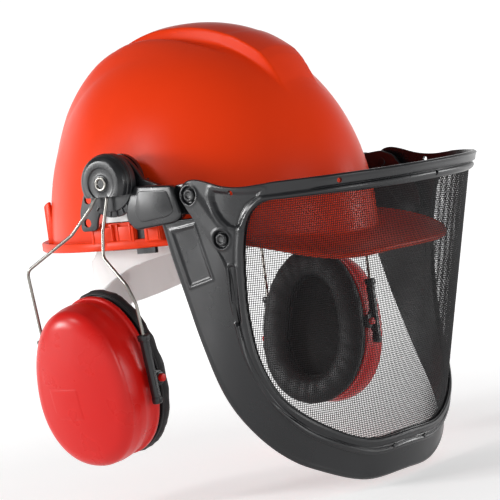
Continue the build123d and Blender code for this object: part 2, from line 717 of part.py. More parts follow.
SIDE_MAKERS = {
    "adapter_base": adapter_base,
    "slot_insert": slot_insert,
    "strap_bracket": strap_bracket,
    "detent_fan": detent_fan,
    "hub_rivet": hub_rivet,
    "visor_arm": visor_arm,
}
for name, maker in SIDE_MAKERS.items():
    right_part = maker()
    save(f"{name}_right", right_part)
    save(f"{name}_left", mirrored(right_part))

save("visor_frame", visor_frame())
save("chin_guard", chin_guard())
save("mesh_screen", mesh_screen())
save("retaining_frame", retaining_frame())
save("snap_pins", snap_pins())
save("chin_pins", chin_pins())

for name, (right_part, twisted) in muff_parts().items():
    save(f"{name}_right", right_part)
    left_part = mirrored(right_part)
    if twisted:
        left_part = yaw_left(left_part)
    save(f"{name}_left", swing_left(left_part))

save("yoke_wire_right", yoke_wire(lambda point, index: point))
save("yoke_wire_left", swing_left(yoke_wire(left_leg_point)))
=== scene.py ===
import math

import bmesh
import bpy
import numpy as np
from mathutils import Matrix, Vector


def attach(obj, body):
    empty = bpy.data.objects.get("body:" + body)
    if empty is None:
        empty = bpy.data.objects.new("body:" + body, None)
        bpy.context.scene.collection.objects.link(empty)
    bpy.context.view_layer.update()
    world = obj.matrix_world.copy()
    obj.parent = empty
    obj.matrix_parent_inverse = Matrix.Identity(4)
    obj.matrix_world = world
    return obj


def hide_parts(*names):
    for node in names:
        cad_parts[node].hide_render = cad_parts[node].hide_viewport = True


# The looks of a forestry helmet: shell, harness, two ear muffs and a flip-up mesh visor.
# Lengths below are millimetres and become metres in to_object().  "dist" is |x|.

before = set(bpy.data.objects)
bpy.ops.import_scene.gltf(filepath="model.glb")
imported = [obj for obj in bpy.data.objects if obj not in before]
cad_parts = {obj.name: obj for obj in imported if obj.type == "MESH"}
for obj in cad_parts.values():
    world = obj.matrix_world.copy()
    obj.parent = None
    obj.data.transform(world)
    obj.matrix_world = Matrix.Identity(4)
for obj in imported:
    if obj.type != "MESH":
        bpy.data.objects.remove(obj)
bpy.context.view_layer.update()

# ---------------------------------------------------------------- camera

AZ, EL, ROLL = math.radians(-53.1), math.radians(3.65), math.radians(7.0)
TARGET = Vector((0, -28.4, -15.5)) / 1000
VIEW_DIST = 1.8
back = Vector((math.sin(AZ) * math.cos(EL), -math.cos(AZ) * math.cos(EL), math.sin(EL)))
right = Vector((math.cos(AZ), math.sin(AZ), 0))
up = back.cross(right)
right_r = right * math.cos(ROLL) - up * math.sin(ROLL)
up_r = up * math.cos(ROLL) + right * math.sin(ROLL)
eye = TARGET + back * VIEW_DIST
cam_data = bpy.data.cameras.new("camera")
cam_data.sensor_width = 36
cam_data.lens = 181.4
cam_data.clip_end = 50
camera = bpy.data.objects.new("camera", cam_data)
bpy.context.collection.objects.link(camera)
camera.matrix_world = Matrix((
    (right_r.x, up_r.x, back.x, eye.x),
    (right_r.y, up_r.y, back.y, eye.y),
    (right_r.z, up_r.z, back.z, eye.z),
    (0, 0, 0, 1)))
bpy.context.scene.camera = camera

# ---------------------------------------------------------------- shared numbers

KNOB = (-7.0, 47.0)                    # y and z of the knobs' common axis
VISOR_HALF_W, VISOR_TOP = 118.0, 37.0
ARM_END, BOW, BOW_POWER = -100.7, 90.6, 2.2
LEAN = math.tan(math.radians(14.3))    # the visor leans back as it goes down
BAR_DIST, BAR_MID_Y = 124.0, -2.0      # the yoke's cross bar in the knob cap
STEM_LEAN = math.radians(8)            # the yoke's legs close in as they go down


def smooth(a, b, x):
    t = np.clip((x - a) / (b - a), 0, 1)
    return t * t * (3 - 2 * t)


def spline(points, count):
    """Catmull-Rom through the points, resampled to even steps."""
    p = np.array(points, float)
    p = np.vstack([2 * p[0] - p[1], p, 2 * p[-1] - p[-2]])
    out = []
    t = np.linspace(0, 1, 24, endpoint=False)[:, None]
    for i in range(1, len(p) - 2):
        a, b, c, d = p[i - 1], p[i], p[i + 1], p[i + 2]
        out.append(0.5 * (2 * b + (c - a) * t + (2 * a - 5 * b + 4 * c - d) * t ** 2
                          + (3 * b - a - 3 * c + d) * t ** 3))
    out = np.vstack(out + [p[-2][None]])
    length = np.concatenate([[0], np.cumsum(np.linalg.norm(np.diff(out, axis=0), axis=1))])
    at = np.linspace(0, length[-1], count)
    return np.stack([np.interp(at, length, out[:, k]) for k in range(out.shape[1])], axis=1)


# ---------------------------------------------------------------- making objects

def mesh_object(name, verts, faces):
    """A linked object from points in mm."""
    mesh = bpy.data.meshes.new(name)
    mesh.from_pydata([tuple(v) for v in np.asarray(verts, float) / 1000], [], faces)
    obj = bpy.data.objects.new(name, mesh)
    bpy.context.collection.objects.link(obj)
    return obj


def turn_faces_out(mesh, join=0.0):
    bm = bmesh.new()
    bm.from_mesh(mesh)
    if join:
        bmesh.ops.remove_doubles(bm, verts=bm.verts, dist=join)
    bmesh.ops.recalc_face_normals(bm, faces=bm.faces)
    bm.to_mesh(mesh)
    bm.free()


def to_object(name, verts, faces, material, body, nodes=(), slot=None, sharp=40):
    """A piece that rides on its CAD body and stands for the named CAD nodes."""
    obj = mesh_object(name, verts, faces)
    mesh = obj.data
    mesh.validate()
    turn_faces_out(mesh, 1e-6)
    mesh.materials.append(material)
    mesh.shade_smooth()
    if sharp:
        mesh.set_sharp_from_angle(angle=math.radians(sharp))
    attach(obj, body)
    if nodes:
        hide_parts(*nodes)
    return obj


def apply_modifiers(obj):
    bpy.context.view_layer.update()
    graph = bpy.context.evaluated_depsgraph_get()
    mesh = bpy.data.meshes.new_from_object(obj.evaluated_get(graph))
    old = obj.data
    obj.modifiers.clear()
    obj.data = mesh
    bpy.data.meshes.remove(old)


def bore(piece, cutters):
    """Cut closed meshes in mm out of a piece."""
    cutter = mesh_object("cutter", *merge(*cutters))
    turn_faces_out(cutter.data)
    modifier = piece.modifiers.new("holes", "BOOLEAN")
    modifier.operation = "DIFFERENCE"
    modifier.solver = "EXACT"
    modifier.object = cutter
    apply_modifiers(piece)
    bpy.data.objects.remove(cutter)


def fan(centre, start, count):
    """Triangles from one vertex to a closed ring of vertices."""
    return [(centre, start + i, start + (i + 1) % count) for i in range(count)]


def grid_faces(rows, cols, close_rows=False, close_cols=False, start=0):
    """Quads of a grid whose vertex index is start + row * cols + col."""
    faces = []
    for i in range(rows if close_rows else rows - 1):
        a = start + i * cols
        b = start + ((i + 1) % rows) * cols
        for j in range(cols if close_cols else cols - 1):
            k = (j + 1) % cols
            faces.append((a + j, a + k, b + k, b + j))
    return faces


def end_caps(rows, cols):
    """Faces that close the first and the last ring of a grid."""
    return [tuple(range(cols)), tuple(range((rows - 1) * cols, rows * cols))]


def strip_ends(rows, cols):
    """Faces that close the two ends of a grid whose rows form a tube."""
    return [tuple(r * cols + col for r in range(rows)) for col in (0, cols - 1)]


def lathe(profile, steps=96):
    """Turn (dist, radius) points about the X axis; the ends are closed by fans."""
    verts = []
    for dist, radius in profile:
        for i in range(steps):
            a = 2 * math.pi * i / steps
            verts.append((-dist, radius * math.cos(a), radius * math.sin(a)))
    faces = grid_faces(len(profile), steps, close_cols=True)
    for row in (0, len(profile) - 1):
        faces += fan(len(verts), row * steps, steps)
        verts.append((-profile[row][0], 0, 0))
    return np.array(verts), faces


def corner(a, b, c, radius, steps):
    """Points that round the corner at b between a and c."""
    cut = min(radius, 0.45 * np.linalg.norm(a - b), 0.45 * np.linalg.norm(c - b))
    s = b + (a - b) / np.linalg.norm(a - b) * cut
    e = b + (c - b) / np.linalg.norm(c - b) * cut
    return [(1 - t) ** 2 * s + 2 * t * (1 - t) * b + t * t * e for t in np.linspace(0, 1, steps)]


def rounded_profile(points, radius=0.8, steps=4):
    """Round the corners of an open polyline."""
    p = [np.array(q, float) for q in points]
    out = [p[0]]
    for a, b, c in zip(p, p[1:], p[2:]):
        out += corner(a, b, c, radius, steps)
    return out + [p[-1]]


def slab(outline, dist, round_plan=2.0, bevel=0.7, steps=6):
    """A plate from a (y, z) outline between two distances, with rounded corners and edges."""
    p = [np.array(q, float) for q in outline]
    ring = []
    for a, b, c in zip(p[-1:] + p[:-1], p, p[1:] + p[:1]):
        ring += corner(a, b, c, round_plan, steps)
    ring = np.array(ring)
    area = np.sum(ring[:, 0] * np.roll(ring[:, 1], -1) - np.roll(ring[:, 0], -1) * ring[:, 1])
    if area < 0:
        ring = ring[::-1]
    tangent = np.roll(ring, -1, 0) - np.roll(ring, 1, 0)
    tangent /= np.linalg.norm(tangent, axis=1)[:, None] + 1e-9
    normal = np.stack([tangent[:, 1], -tangent[:, 0]], 1)
    low, high = dist
    quarter = np.linspace(0, math.pi / 2, 4)
    levels = [(low + bevel * (1 - math.cos(t)), bevel * (1 - math.sin(t))) for t in quarter]
    levels += [(high - bevel * (1 - math.cos(t)), bevel * (1 - math.sin(t))) for t in quarter[::-1]]
    verts = []
    for d, inset in levels:
        verts += [(-d, y, z) for y, z in ring - normal * inset]
    faces = grid_faces(len(levels), len(ring), close_cols=True)
    return np.array(verts), faces + end_caps(len(levels), len(ring))


def merge(*parts):
    verts, faces, count = [], [], 0
    for v, f in parts:
        verts.append(np.asarray(v, float))
        faces += [tuple(i + count for i in face) for face in f]
        count += len(v)
    return np.vstack(verts), faces


def tube(path, radius, sides=14, taper=None):
    """Round tube along points in mm, with turning-minimising frames."""
    p = np.array(path, float)
    d = np.gradient(p, axis=0)
    d /= np.linalg.norm(d, axis=1)[:, None]
    ref = np.cross(d[0], (0.3, 0.9, 0.2))
    verts = []
    for i, point in enumerate(p):
        ref = ref - d[i] * np.dot(ref, d[i])
        ref /= np.linalg.norm(ref)
        side = np.cross(d[i], ref)
        r = radius if taper is None else radius * taper[i]
        for k in range(sides):
            a = 2 * math.pi * k / sides
            verts.append(point + (ref * math.cos(a) + side * math.sin(a)) * r)
    faces = grid_faces(len(p), sides, close_cols=True)
    return np.array(verts), faces + end_caps(len(p), sides)


def mirror_x(part):
    v, f = part
    v = np.array(v)
    v[:, 0] *= -1
    return v, [tuple(reversed(face)) for face in f]


def turn_about(part, centre, angle_deg, axis):
    """Rotate verts (mm) about a line through centre along x, y or z."""
    turn = np.array(Matrix.Rotation(math.radians(angle_deg), 3, axis))
    return (np.array(part[0]) - centre) @ turn.T + centre, part[1]


def swing_left(part):
    """The left muff is kept swung a little about the knob."""
    return turn_about(part, np.array((0, KNOB[0], KNOB[1])), -5.0, "X")


def yaw_left(part):
    """It is also twisted a little about the yoke's cross bar."""
    return turn_about(part, np.array((BAR_DIST, BAR_MID_Y, 0)), 7.0, "Z")


def at_knob(part):
    v, f = part
    return np.array(v) + np.array((0, KNOB[0], KNOB[1])), f


# ---------------------------------------------------------------- materials

def make_material(name, colour, rough, metallic=0.0, specular=0.5, sheen=0.0, subsurface=0.0,
                  transmission=0.0, rough_spread=0.06, rough_scale=40, tint=0.05, tint_scale=12, bumps=()):
    """Plain colour with noise in its tint and roughness; bumps are (scale, strength, distance)."""
    mat = bpy.data.materials.new(name)
    mat.use_nodes = True
    tree = mat.node_tree
    shader = tree.nodes["Principled BSDF"]
    shader.inputs["Metallic"].default_value = metallic
    shader.inputs["Specular IOR Level"].default_value = specular
    shader.inputs["Sheen Weight"].default_value = sheen
    shader.inputs["Subsurface Weight"].default_value = subsurface
    shader.inputs["Subsurface Radius"].default_value = (0.02, 0.02, 0.02)
    shader.inputs["Subsurface Scale"].default_value = 0.2
    shader.inputs["Transmission Weight"].default_value = transmission
    coords = tree.nodes.new("ShaderNodeTexCoord")

    def noise(scale, detail=4.0):
        n = tree.nodes.new("ShaderNodeTexNoise")
        n.inputs["Scale"].default_value = scale
        n.inputs["Detail"].default_value = detail
        tree.links.new(coords.outputs["Object"], n.inputs["Vector"])
        return n

    def ramp(source, low, high, socket):
        r = tree.nodes.new("ShaderNodeMapRange")
        r.inputs["From Min"].default_value = 0.3
        r.inputs["From Max"].default_value = 0.7
        r.inputs["To Min"].default_value = low
        r.inputs["To Max"].default_value = high
        tree.links.new(source.outputs["Fac"], r.inputs["Value"])
        tree.links.new(r.outputs["Result"], socket)

    ramp(noise(rough_scale), rough - rough_spread, rough + rough_spread, shader.inputs["Roughness"])
    mix = tree.nodes.new("ShaderNodeMix")
    mix.data_type = "RGBA"
    mix.inputs["A"].default_value = (*[c * (1 - tint) for c in colour], 1)
    mix.inputs["B"].default_value = (*[min(1, c * (1 + tint)) for c in colour], 1)
    tree.links.new(noise(tint_scale).outputs["Fac"], mix.inputs["Factor"])
    tree.links.new(mix.outputs["Result"], shader.inputs["Base Color"])
    previous = None
    for scale, strength, distance in bumps:
        bump = tree.nodes.new("ShaderNodeBump")
        bump.inputs["Strength"].default_value = strength
        bump.inputs["Distance"].default_value = distance
        tree.links.new(noise(scale, 3.0).outputs["Fac"], bump.inputs["Height"])
        if previous:
            tree.links.new(previous.outputs["Normal"], bump.inputs["Normal"])
        previous = bump
    tree.links.new(previous.outputs["Normal"], shader.inputs["Normal"])
    return mat


def add_weave(mat, scale, strength, distance):
    """Crossed threads as an extra bump."""
    tree = mat.node_tree
    shader = tree.nodes["Principled BSDF"]
    coords = tree.nodes["Texture Coordinate"]
    heights = []
    for direction in ("X", "Z"):
        wave = tree.nodes.new("ShaderNodeTexWave")
        wave.bands_direction = direction
        wave.inputs["Scale"].default_value = scale
        wave.inputs["Distortion"].default_value = 0.4
        tree.links.new(coords.outputs["Object"], wave.inputs["Vector"])
        heights.append(wave)
    add = tree.nodes.new("ShaderNodeMath")
    add.operation = "ADD"
    tree.links.new(heights[0].outputs["Fac"], add.inputs[0])
    tree.links.new(heights[1].outputs["Fac"], add.inputs[1])
    bump = tree.nodes.new("ShaderNodeBump")
    bump.inputs["Strength"].default_value = strength
    bump.inputs["Distance"].default_value = distance
    tree.links.new(add.outputs["Value"], bump.inputs["Height"])
    old = shader.inputs["Normal"].links[0].from_socket
    tree.links.new(old, bump.inputs["Normal"])
    tree.links.new(bump.outputs["Normal"], shader.inputs["Normal"])
    return mat


ORANGE = make_material("shell_orange", (0.74, 0.038, 0.0035), 0.34, specular=0.17,
                       rough_spread=0.04, tint=0.03, bumps=((24, 0.03, 0.0008), (1400, 0.03, 0.0001)))
RED = make_material("red_plastic", (0.56, 0.008, 0.0055), 0.30, specular=0.3, rough_spread=0.05, tint=0.03,
                    bumps=((1600, 0.06, 0.0001),))
BLACK = make_material("black_plastic", (0.007, 0.0075, 0.009), 0.31, specular=0.50, rough_spread=0.10,
                      rough_scale=26, tint=0.25, tint_scale=30, bumps=((45, 0.10, 0.0006), (1500, 0.06, 0.0001)))
GREY = make_material("grey_plastic", (0.016, 0.017, 0.019), 0.40, rough_spread=0.08, tint=0.15,
                     bumps=((300, 0.10, 0.0003),))
PALE = make_material("pale_plastic", (0.93, 0.93, 0.92), 0.42, transmission=0.35, subsurface=0.2, tint=0.02,
                     bumps=((90, 0.06, 0.0005),))
STEEL = make_material("steel", (0.26, 0.25, 0.23), 0.28, metallic=1.0, tint=0.12, tint_scale=60,
                      bumps=((500, 0.05, 0.0002),))
WIRE = make_material("dark_mesh", (0.010, 0.010, 0.011), 0.55, specular=0.25, tint=0.2,
                     bumps=((2500, 0.05, 0.0001),))
SKIN = make_material("cushion_skin", (0.008, 0.008, 0.009), 0.52, specular=0.35, sheen=0.06,
                     rough_spread=0.07, tint=0.15, bumps=((70, 0.25, 0.0012), (1100, 0.30, 0.0003)))
FOAM = make_material("foam", (0.010, 0.010, 0.010), 0.9, rough_spread=0.03, tint=0.4, tint_scale=300,
                     bumps=((420, 0.9, 0.0010),))
CLOTH = add_weave(make_material("sweatband_cloth", (0.045, 0.045, 0.047), 0.85, sheen=0.2, tint=0.2,
                                bumps=((400, 0.2, 0.0004),)), 700, 0.5, 0.0003)
WEB = add_weave(make_material("webbing", (0.55, 0.55, 0.53), 0.8, sheen=0.15, tint=0.1,
                              bumps=((300, 0.1, 0.0003),)), 500, 0.6, 0.0004)
FLOOR = make_material("floor_white", (0.80, 0.80, 0.80), 0.75, specular=0.2, tint=0.005, rough_spread=0.02,
                      bumps=((30, 0.01, 0.0002),))


def light_up_far_floor():
    """The floor glows as painted light, more with its distance, standing in for the lamp-lit white cloth of a
    studio.
    """
    tree = FLOOR.node_tree
    shader = tree.nodes["Principled BSDF"]
    shader.inputs["Emission Color"].default_value = (1, 1, 1, 1)
    reach = tree.nodes.new("ShaderNodeVectorMath")
    reach.operation = "LENGTH"
    glow = tree.nodes.new("ShaderNodeMapRange")
    for key, value in (("From Min", 0.25), ("From Max", 1.1), ("To Min", 0.45), ("To Max", 0.95)):
        glow.inputs[key].default_value = value
    tree.links.new(tree.nodes["Texture Coordinate"].outputs["Object"], reach.inputs[0])
    tree.links.new(reach.outputs["Value"], glow.inputs["Value"])
    # painted light: the floor's emission runs from 0.45 near the middle to 0.95 far off
    tree.links.new(glow.outputs["Result"], shader.inputs["Emission Strength"])


light_up_far_floor()

# ---------------------------------------------------------------- shell

DOME_HALF_W, DOME_FRONT, DOME_REAR, WIDEST_Y = 104.0, 134.0, 114.0, 10.0
DOME_H, DOME_POWER = 145.0, 2.12
SHELL_T = 3.0
GUTTER_W, GUTTER_FLOOR, LIP_W = 8.0, 2.2, 2.2
PEAK_ROOT_Y, PEAK_REACH, PEAK_HALF_W, PEAK_POWER = -40.0, 118.0, 95.0, 4.5
PEAK_T, PEAK_CROWN = 3.0, 2.2
FILLET_TOP, LOW_WALL = 1.6, 20.0       # the wall's foot, and the height where it starts to bend to it


def peak_z(y):
    reach = np.clip((PEAK_ROOT_Y - y) / PEAK_REACH, 0, 1.1)
    return 3.0 - 24.0 * reach ** 2.1


def crest_height(x, y):
    """Raised crest with its sloping front, and the two rear ridges beside it."""
    ax = np.abs(x)
    rise = np.interp(y, [-93, -89, -76, -70, -50, -20, 20, 50, 62, 75],
                     [0, 0.5, 6.2, 7.8, 8.0, 6.6, 4.8, 3.0, 1.6, 0])
    half = np.interp(y, [-100, -60, 0, 70], [20.0, 21.5, 23.0, 22.0])
    crest = rise * (1 - smooth(half - 0.9, half + 1.9, ax))
    size = np.interp(y, [-25, 5, 35, 60, 90, 104, 112], [0, 2.2, 4.6, 5.2, 4.6, 2.6, 0])
    rear_ridges = size * smooth(26.5, 30.5, ax) * (1 - smooth(33.0, 54.0, ax))
    along = smooth(-60, -15, y) * (1 - smooth(70, 92, y))
    valley = -2.2 * along * smooth(half + 1.0, half + 3, ax) * (1 - smooth(28, 33, ax))
    return crest + rear_ridges + valley


def oval_radius(c, s, half_w, length):
    return 1 / np.sqrt((c / half_w) ** 2 + (s / length) ** 2)


def brim_edge(angle):
    """Distance from (0, WIDEST_Y) to the outer edge of gutter or peak at a plan angle."""
    c, s = math.cos(angle), math.sin(angle)
    length = DOME_REAR if s > 0 else DOME_FRONT
    gutter = oval_radius(c, s, DOME_HALF_W + GUTTER_W, length + GUTTER_W)
    if s >= 0:
        return gutter
    # the peak is a superellipse, and its edge is found by halving
    peak, far = 10.0, 220.0
    for _ in range(40):
        mid = 0.5 * (peak + far)
        reach = max(PEAK_ROOT_Y - (WIDEST_Y + mid * s), 0) / PEAK_REACH
        inside = (abs(mid * c) / PEAK_HALF_W) ** PEAK_POWER + reach ** PEAK_POWER < 1
        peak, far = (mid, far) if inside else (peak, mid)
    # the gutter narrows to nothing where the peak takes over, and the two edges blend
    foot = oval_radius(c, s, DOME_HALF_W, length)
    keep = float(smooth(-66, -40, WIDEST_Y + foot * s))
    wall = foot + (gutter - foot) * keep + 1.0
    if abs(peak - wall) >= 60:
        return max(peak, wall)
    blend = 0.25
    return math.log(math.exp(blend * peak) + math.exp(blend * wall)) / blend


def build_shell():
    steps, rings, inner_rings = 640, 150, 60
    angles = np.linspace(0, 2 * math.pi, steps, endpoint=False)
    cosine, sine = np.cos(angles), np.sin(angles)
    foot = oval_radius(cosine, sine, DOME_HALF_W, np.where(sine > 0, DOME_REAR, DOME_FRONT))
    edge = np.maximum(np.array([brim_edge(a) for a in angles]), foot + 2.5)
    y_foot = WIDEST_Y + foot * sine
    front = 1 - smooth(-62, -38, y_foot)
    rear = 1 - front
    rows = []

    def add(radius, height):
        rows.append(np.stack([radius * cosine, WIDEST_Y + radius * sine, height * np.ones(steps)], 1))

    def brim_height(radius):
        y = WIDEST_Y + radius * sine
        crown = PEAK_CROWN * np.clip(1 - (np.abs(radius * cosine) / PEAK_HALF_W) ** 2, 0, 1) * front
        return (peak_z(y) + crown * np.clip((radius - foot) / 30, 0, 1)) * front + GUTTER_FLOOR * rear

    def dome_arc(share):
        """Height and radius of the dome as shares, from the crown down."""
        rise = math.cos(share * math.pi / 2) ** (2 / DOME_POWER) if share < 1 else 0.0
        return rise, (1 - rise ** DOME_POWER) ** (1 / DOME_POWER)

    # outer face of the dome from the crown down; its wall ends on the gutter's floor or on the peak
    base_z = (peak_z(y_foot) - GUTTER_FLOOR) * front + GUTTER_FLOOR
    for i in range(1, rings + 1):
        rise, share = dome_arc(i / rings)
        radius, height = foot * share, DOME_H * rise
        bump = crest_height(radius * cosine, WIDEST_Y + radius * sine)
        upward = min(rise * 1.1, 1)
        outward = math.sqrt(1 - upward ** 2)
        level = height + bump * upward
        if height < LOW_WALL:
            level = base_z + FILLET_TOP + (height / LOW_WALL) * (LOW_WALL - base_z - FILLET_TOP)
        add(radius + bump * outward + (0.3 if i == rings else 0), level)
    # fillet and gutter floor
    add(foot + 0.7, base_z + 0.6)
    add(foot + 1.6, base_z + 0.1)
    for t in np.linspace(0.05, 1, 22):
        radius = foot + 1.6 + (edge - foot - 1.6 - LIP_W - 1.0) * t
        radius = np.maximum(np.minimum(radius, edge - LIP_W * 0.6 - 0.2), foot + 0.8)
        add(radius, brim_height(radius))
    # lip: tall round the gutter, a thin bead round the peak
    top = brim_height(edge)
    tip = top + 6.5 * rear + 0.9 * front - GUTTER_FLOOR * rear
    thick = PEAK_T * front + 2.2 * rear
    under = top - thick
    add(edge - LIP_W + 0.1, top + 0.35)
    add(edge - LIP_W + 0.25, np.maximum(tip - 0.9, top + 0.4))
    add(edge - LIP_W + 0.7, tip - 0.15)
    add(edge - LIP_W * 0.5, tip)
    add(edge - 0.5, tip - 0.25)
    add(edge - 0.05, tip - 0.9)
    add(edge, (top + under) / 2)
    add(edge - 0.15, under + 0.7)
    add(edge - 0.9, under)
    for t in np.linspace(0.95, 0.0, 18):
        radius = foot - SHELL_T + (edge - foot + SHELL_T - 1) * t
        add(radius, brim_height(np.maximum(radius, foot)) - thick)
    # inner face up to the crown
    low = brim_height(foot) - 2.6
    for i in range(inner_rings, 0, -1):
        rise, share = dome_arc(i / inner_rings)
        height = (DOME_H - SHELL_T) * rise
        if height < 14:
            height = low + 0.8 + height / 14 * (14 - low - 0.8)
        add((foot - SHELL_T) * share, height)
    verts = np.vstack(rows)
    faces = grid_faces(len(rows), steps, close_cols=True)
    crown_z = DOME_H + float(crest_height(0.0, WIDEST_Y))
    for row, height in ((0, crown_z), (len(rows) - 1, DOME_H - SHELL_T)):
        faces += fan(len(verts), row * steps, steps)
        verts = np.vstack([verts, [[0, WIDEST_Y, height]]])
    return verts, faces


def block(low, high, bevel=0.6, plan=1.2):
    """Rounded block between two (dist, y, z) corners."""
    outline = [(low[1], low[2]), (high[1], low[2]), (high[1], high[2]), (low[1], high[2])]
    return slab(outline, (low[0], high[0]), plan, bevel)


def build_pocket():
    """Accessory pocket on the shell's side: two frames, a joining block, raised panels and ribs."""
    parts = [block((96, -39, 4), (110.3, -24.2, 18.6)), block((96, -15.8, 4), (110.3, 23, 18.6)),
             block((95, -30, 5), (106.2, 8, 16.0))]
    for y_from, y_to in ((-38.4, -24.6), (-15.4, 0.0), (2.4, 22.4)):
        parts.append(block((104, y_from, 4.6), (111.6, y_to, 16.2)))
    for y in (-36.5, -27.0, -12.5, -1.4, 3.6, 20.5):
        parts.append(block((105, y - 0.7, 5.5), (112.1, y + 0.7, 17.8), 0.3, 0.4))
    return merge(*parts)


def rear_tab():
    return slab([(91.0, 2), (98.5, 2), (99.0, 33.0), (93.5, 36.0)], (67.6, 70.4), 2.0, 0.8)


pocket = build_pocket()
tab = rear_tab()
shell_mesh = merge(build_shell(), pocket, mirror_x(pocket), tab, mirror_x(tab))
to_object("helmet_shell", *shell_mesh, ORANGE, "helmet", ["shell"], "shell_orange", sharp=75)

# ---------------------------------------------------------------- harness


def oval_strip(half_w, half_l, thickness, angles, low, high, bulge=0.6):
    """A band on an oval, with edges given per angle."""
    c, s = np.cos(angles), np.sin(angles)
    rows = []
    for side in (1, -1):
        for t in np.linspace(0, 1, 7)[::side]:
            r = side * thickness / 2 + bulge * math.sin(math.pi * t)
            rows.append(np.stack([(half_w + r) * c, (half_l + r) * s, low + (high - low) * t], 1))
    return np.vstack(rows), rows


def band_edges(y):
    top = np.interp(y, [-120, -60, -20, 15, 45, 75, 98, 120], [21.5, 21, 19.5, 13, 3, -12, -23, -30])
    low = np.interp(y, [-120, -60, -20, 15, 45, 75, 98, 120], [-4.5, -5, -7, -14, -26, -40, -50, -56])
    return low, top


def build_band():
    steps = 400
    angles = np.linspace(0, 2 * math.pi, steps, endpoint=False)
    y = 98 * np.sin(angles)
    low, top = band_edges(y)
    kernel = np.ones(15) / 15
    low = np.convolve(np.concatenate([low[-7:], low, low[:7]]), kernel, "valid")
    top = np.convolve(np.concatenate([top[-7:], top, top[:7]]), kernel, "valid")
    # a shallow scallop along the upper edge of the nape strap
    rear = smooth(40, 90, y)
    top = top + rear * 1.2 * np.cos(angles * 22)
    verts, rows = oval_strip(80, 98, 1.8, angles, low, top)
    return verts, grid_faces(len(rows), steps, close_rows=True, close_cols=True)


to_object("headband", *build_band(), PALE, "helmet", ["headband"], "pale_plastic")


def build_sweat():
    steps = 200
    angles = np.linspace(math.radians(194), math.radians(346), steps)
    y = 96 * np.sin(angles)
    low, top = band_edges(y)
    ends = smooth(0, 0.06, np.linspace(0, 1, steps)) * smooth(0, 0.06, np.linspace(1, 0, steps))
    mid = (low + top) / 2
    low = mid + (low + 1.5 - mid) * (0.4 + 0.6 * ends)
    top = mid + (top - 1.5 - mid) * (0.4 + 0.6 * ends)
    verts, rows = oval_strip(77.0, 95.0, 3.2, angles, low, top, 0.0)
    v = np.array(verts).reshape(len(rows), steps, 3)
    n = len(rows) // 2
    for k in range(n):
        puff = 1.3 * math.sin(math.pi * k / (n - 1)) * ends * (0.85 + 0.15 * np.cos(angles * 60))
        inner = v[n + k]
        inner[:, 0] -= puff * np.cos(angles)
        inner[:, 1] -= puff * np.sin(angles)
    faces = grid_faces(len(rows), steps, close_rows=True)
    return v.reshape(-1, 3), faces + strip_ends(len(rows), steps)


sweat = to_object("sweatband_pad", *build_sweat(), CLOTH, "helmet", ["sweatband"], "sweatband_cloth", sharp=60)


def build_strap(angle_deg, height):
    a = math.radians(angle_deg)
    span = ((math.cos(a) / 80) ** 2 + (math.sin(a) / 98) ** 2) ** -0.5 + 0.9 + 0.4 + 1.2
    t = np.linspace(0.22, math.pi - 0.22, 120)
    rows = []
    section = [(-10, 0.15), (-9.4, 0), (-5, -0.25), (0, -0.3), (5, -0.25), (9.4, 0), (10, 0.15), (10, 1.0),
               (9.4, 1.2), (0, 0.9), (-9.4, 1.2), (-10, 1.0)]
    for across, drop in section:
        x = (span - drop) * np.cos(t)
        z = (height - drop) * np.sin(t)
        rows.append(np.stack([x, np.full_like(x, across), z], 1))
    v = np.vstack(rows)
    r = np.array(Matrix.Rotation(a, 3, "Z"))
    faces = grid_faces(len(rows), len(t), close_rows=True)
    return v @ r.T, faces + strip_ends(len(rows), len(t))


for node, angle, height in (("cradle_strap_lower", 48, 112.0), ("cradle_strap_upper", -48, 115.2)):
    to_object(node + "_web", *build_strap(angle, height), WEB, "helmet", [node], "webbing", sharp=50)

# ---------------------------------------------------------------- visor surface


def visor_plan():
    """Half of the visor's plan, a bow and then a straight side: points, arc distance and normals."""
    t = np.linspace(0, math.pi / 2, 1600)
    power = 2 / BOW_POWER
    bow = np.stack([VISOR_HALF_W * np.sin(t) ** power, ARM_END - BOW * np.cos(t) ** power], 1)
    plan = np.vstack([bow, [[VISOR_HALF_W, y] for y in np.linspace(ARM_END + 1, 140, 240)]])
    arc = np.concatenate([[0], np.cumsum(np.linalg.norm(np.diff(plan, axis=0), axis=1))])
    along = np.gradient(plan, axis=0)
    along /= np.linalg.norm(along, axis=1)[:, None]
    normal = np.stack([along[:, 1], -along[:, 0]], 1)
    normal[0] = (0, -1)
    return plan, arc, normal


PLAN, PLAN_Q, PLAN_N = visor_plan()


def visor_point(q, z, out):
    """Point of the visor at arc distance q from the middle (negative on the wearer's right)."""
    q, z, out = np.broadcast_arrays(np.asarray(q, float), z, out)
    a = np.abs(q)
    x = np.interp(a, PLAN_Q, PLAN[:, 0]) + np.interp(a, PLAN_Q, PLAN_N[:, 0]) * out
    y = np.interp(a, PLAN_Q, PLAN[:, 1]) + np.interp(a, PLAN_Q, PLAN_N[:, 1]) * out
    return np.stack([x * np.sign(q), y + LEAN * (VISOR_TOP - z), z], -1)


def side_to_q(y, z):
    """Arc distance of a point known from the side view."""
    return float(np.interp(y - LEAN * (VISOR_TOP - z), PLAN[:, 1], PLAN_Q))


def q_to_side(q, z):
    return np.interp(np.abs(q), PLAN_Q, PLAN[:, 1]) + LEAN * (VISOR_TOP - z)


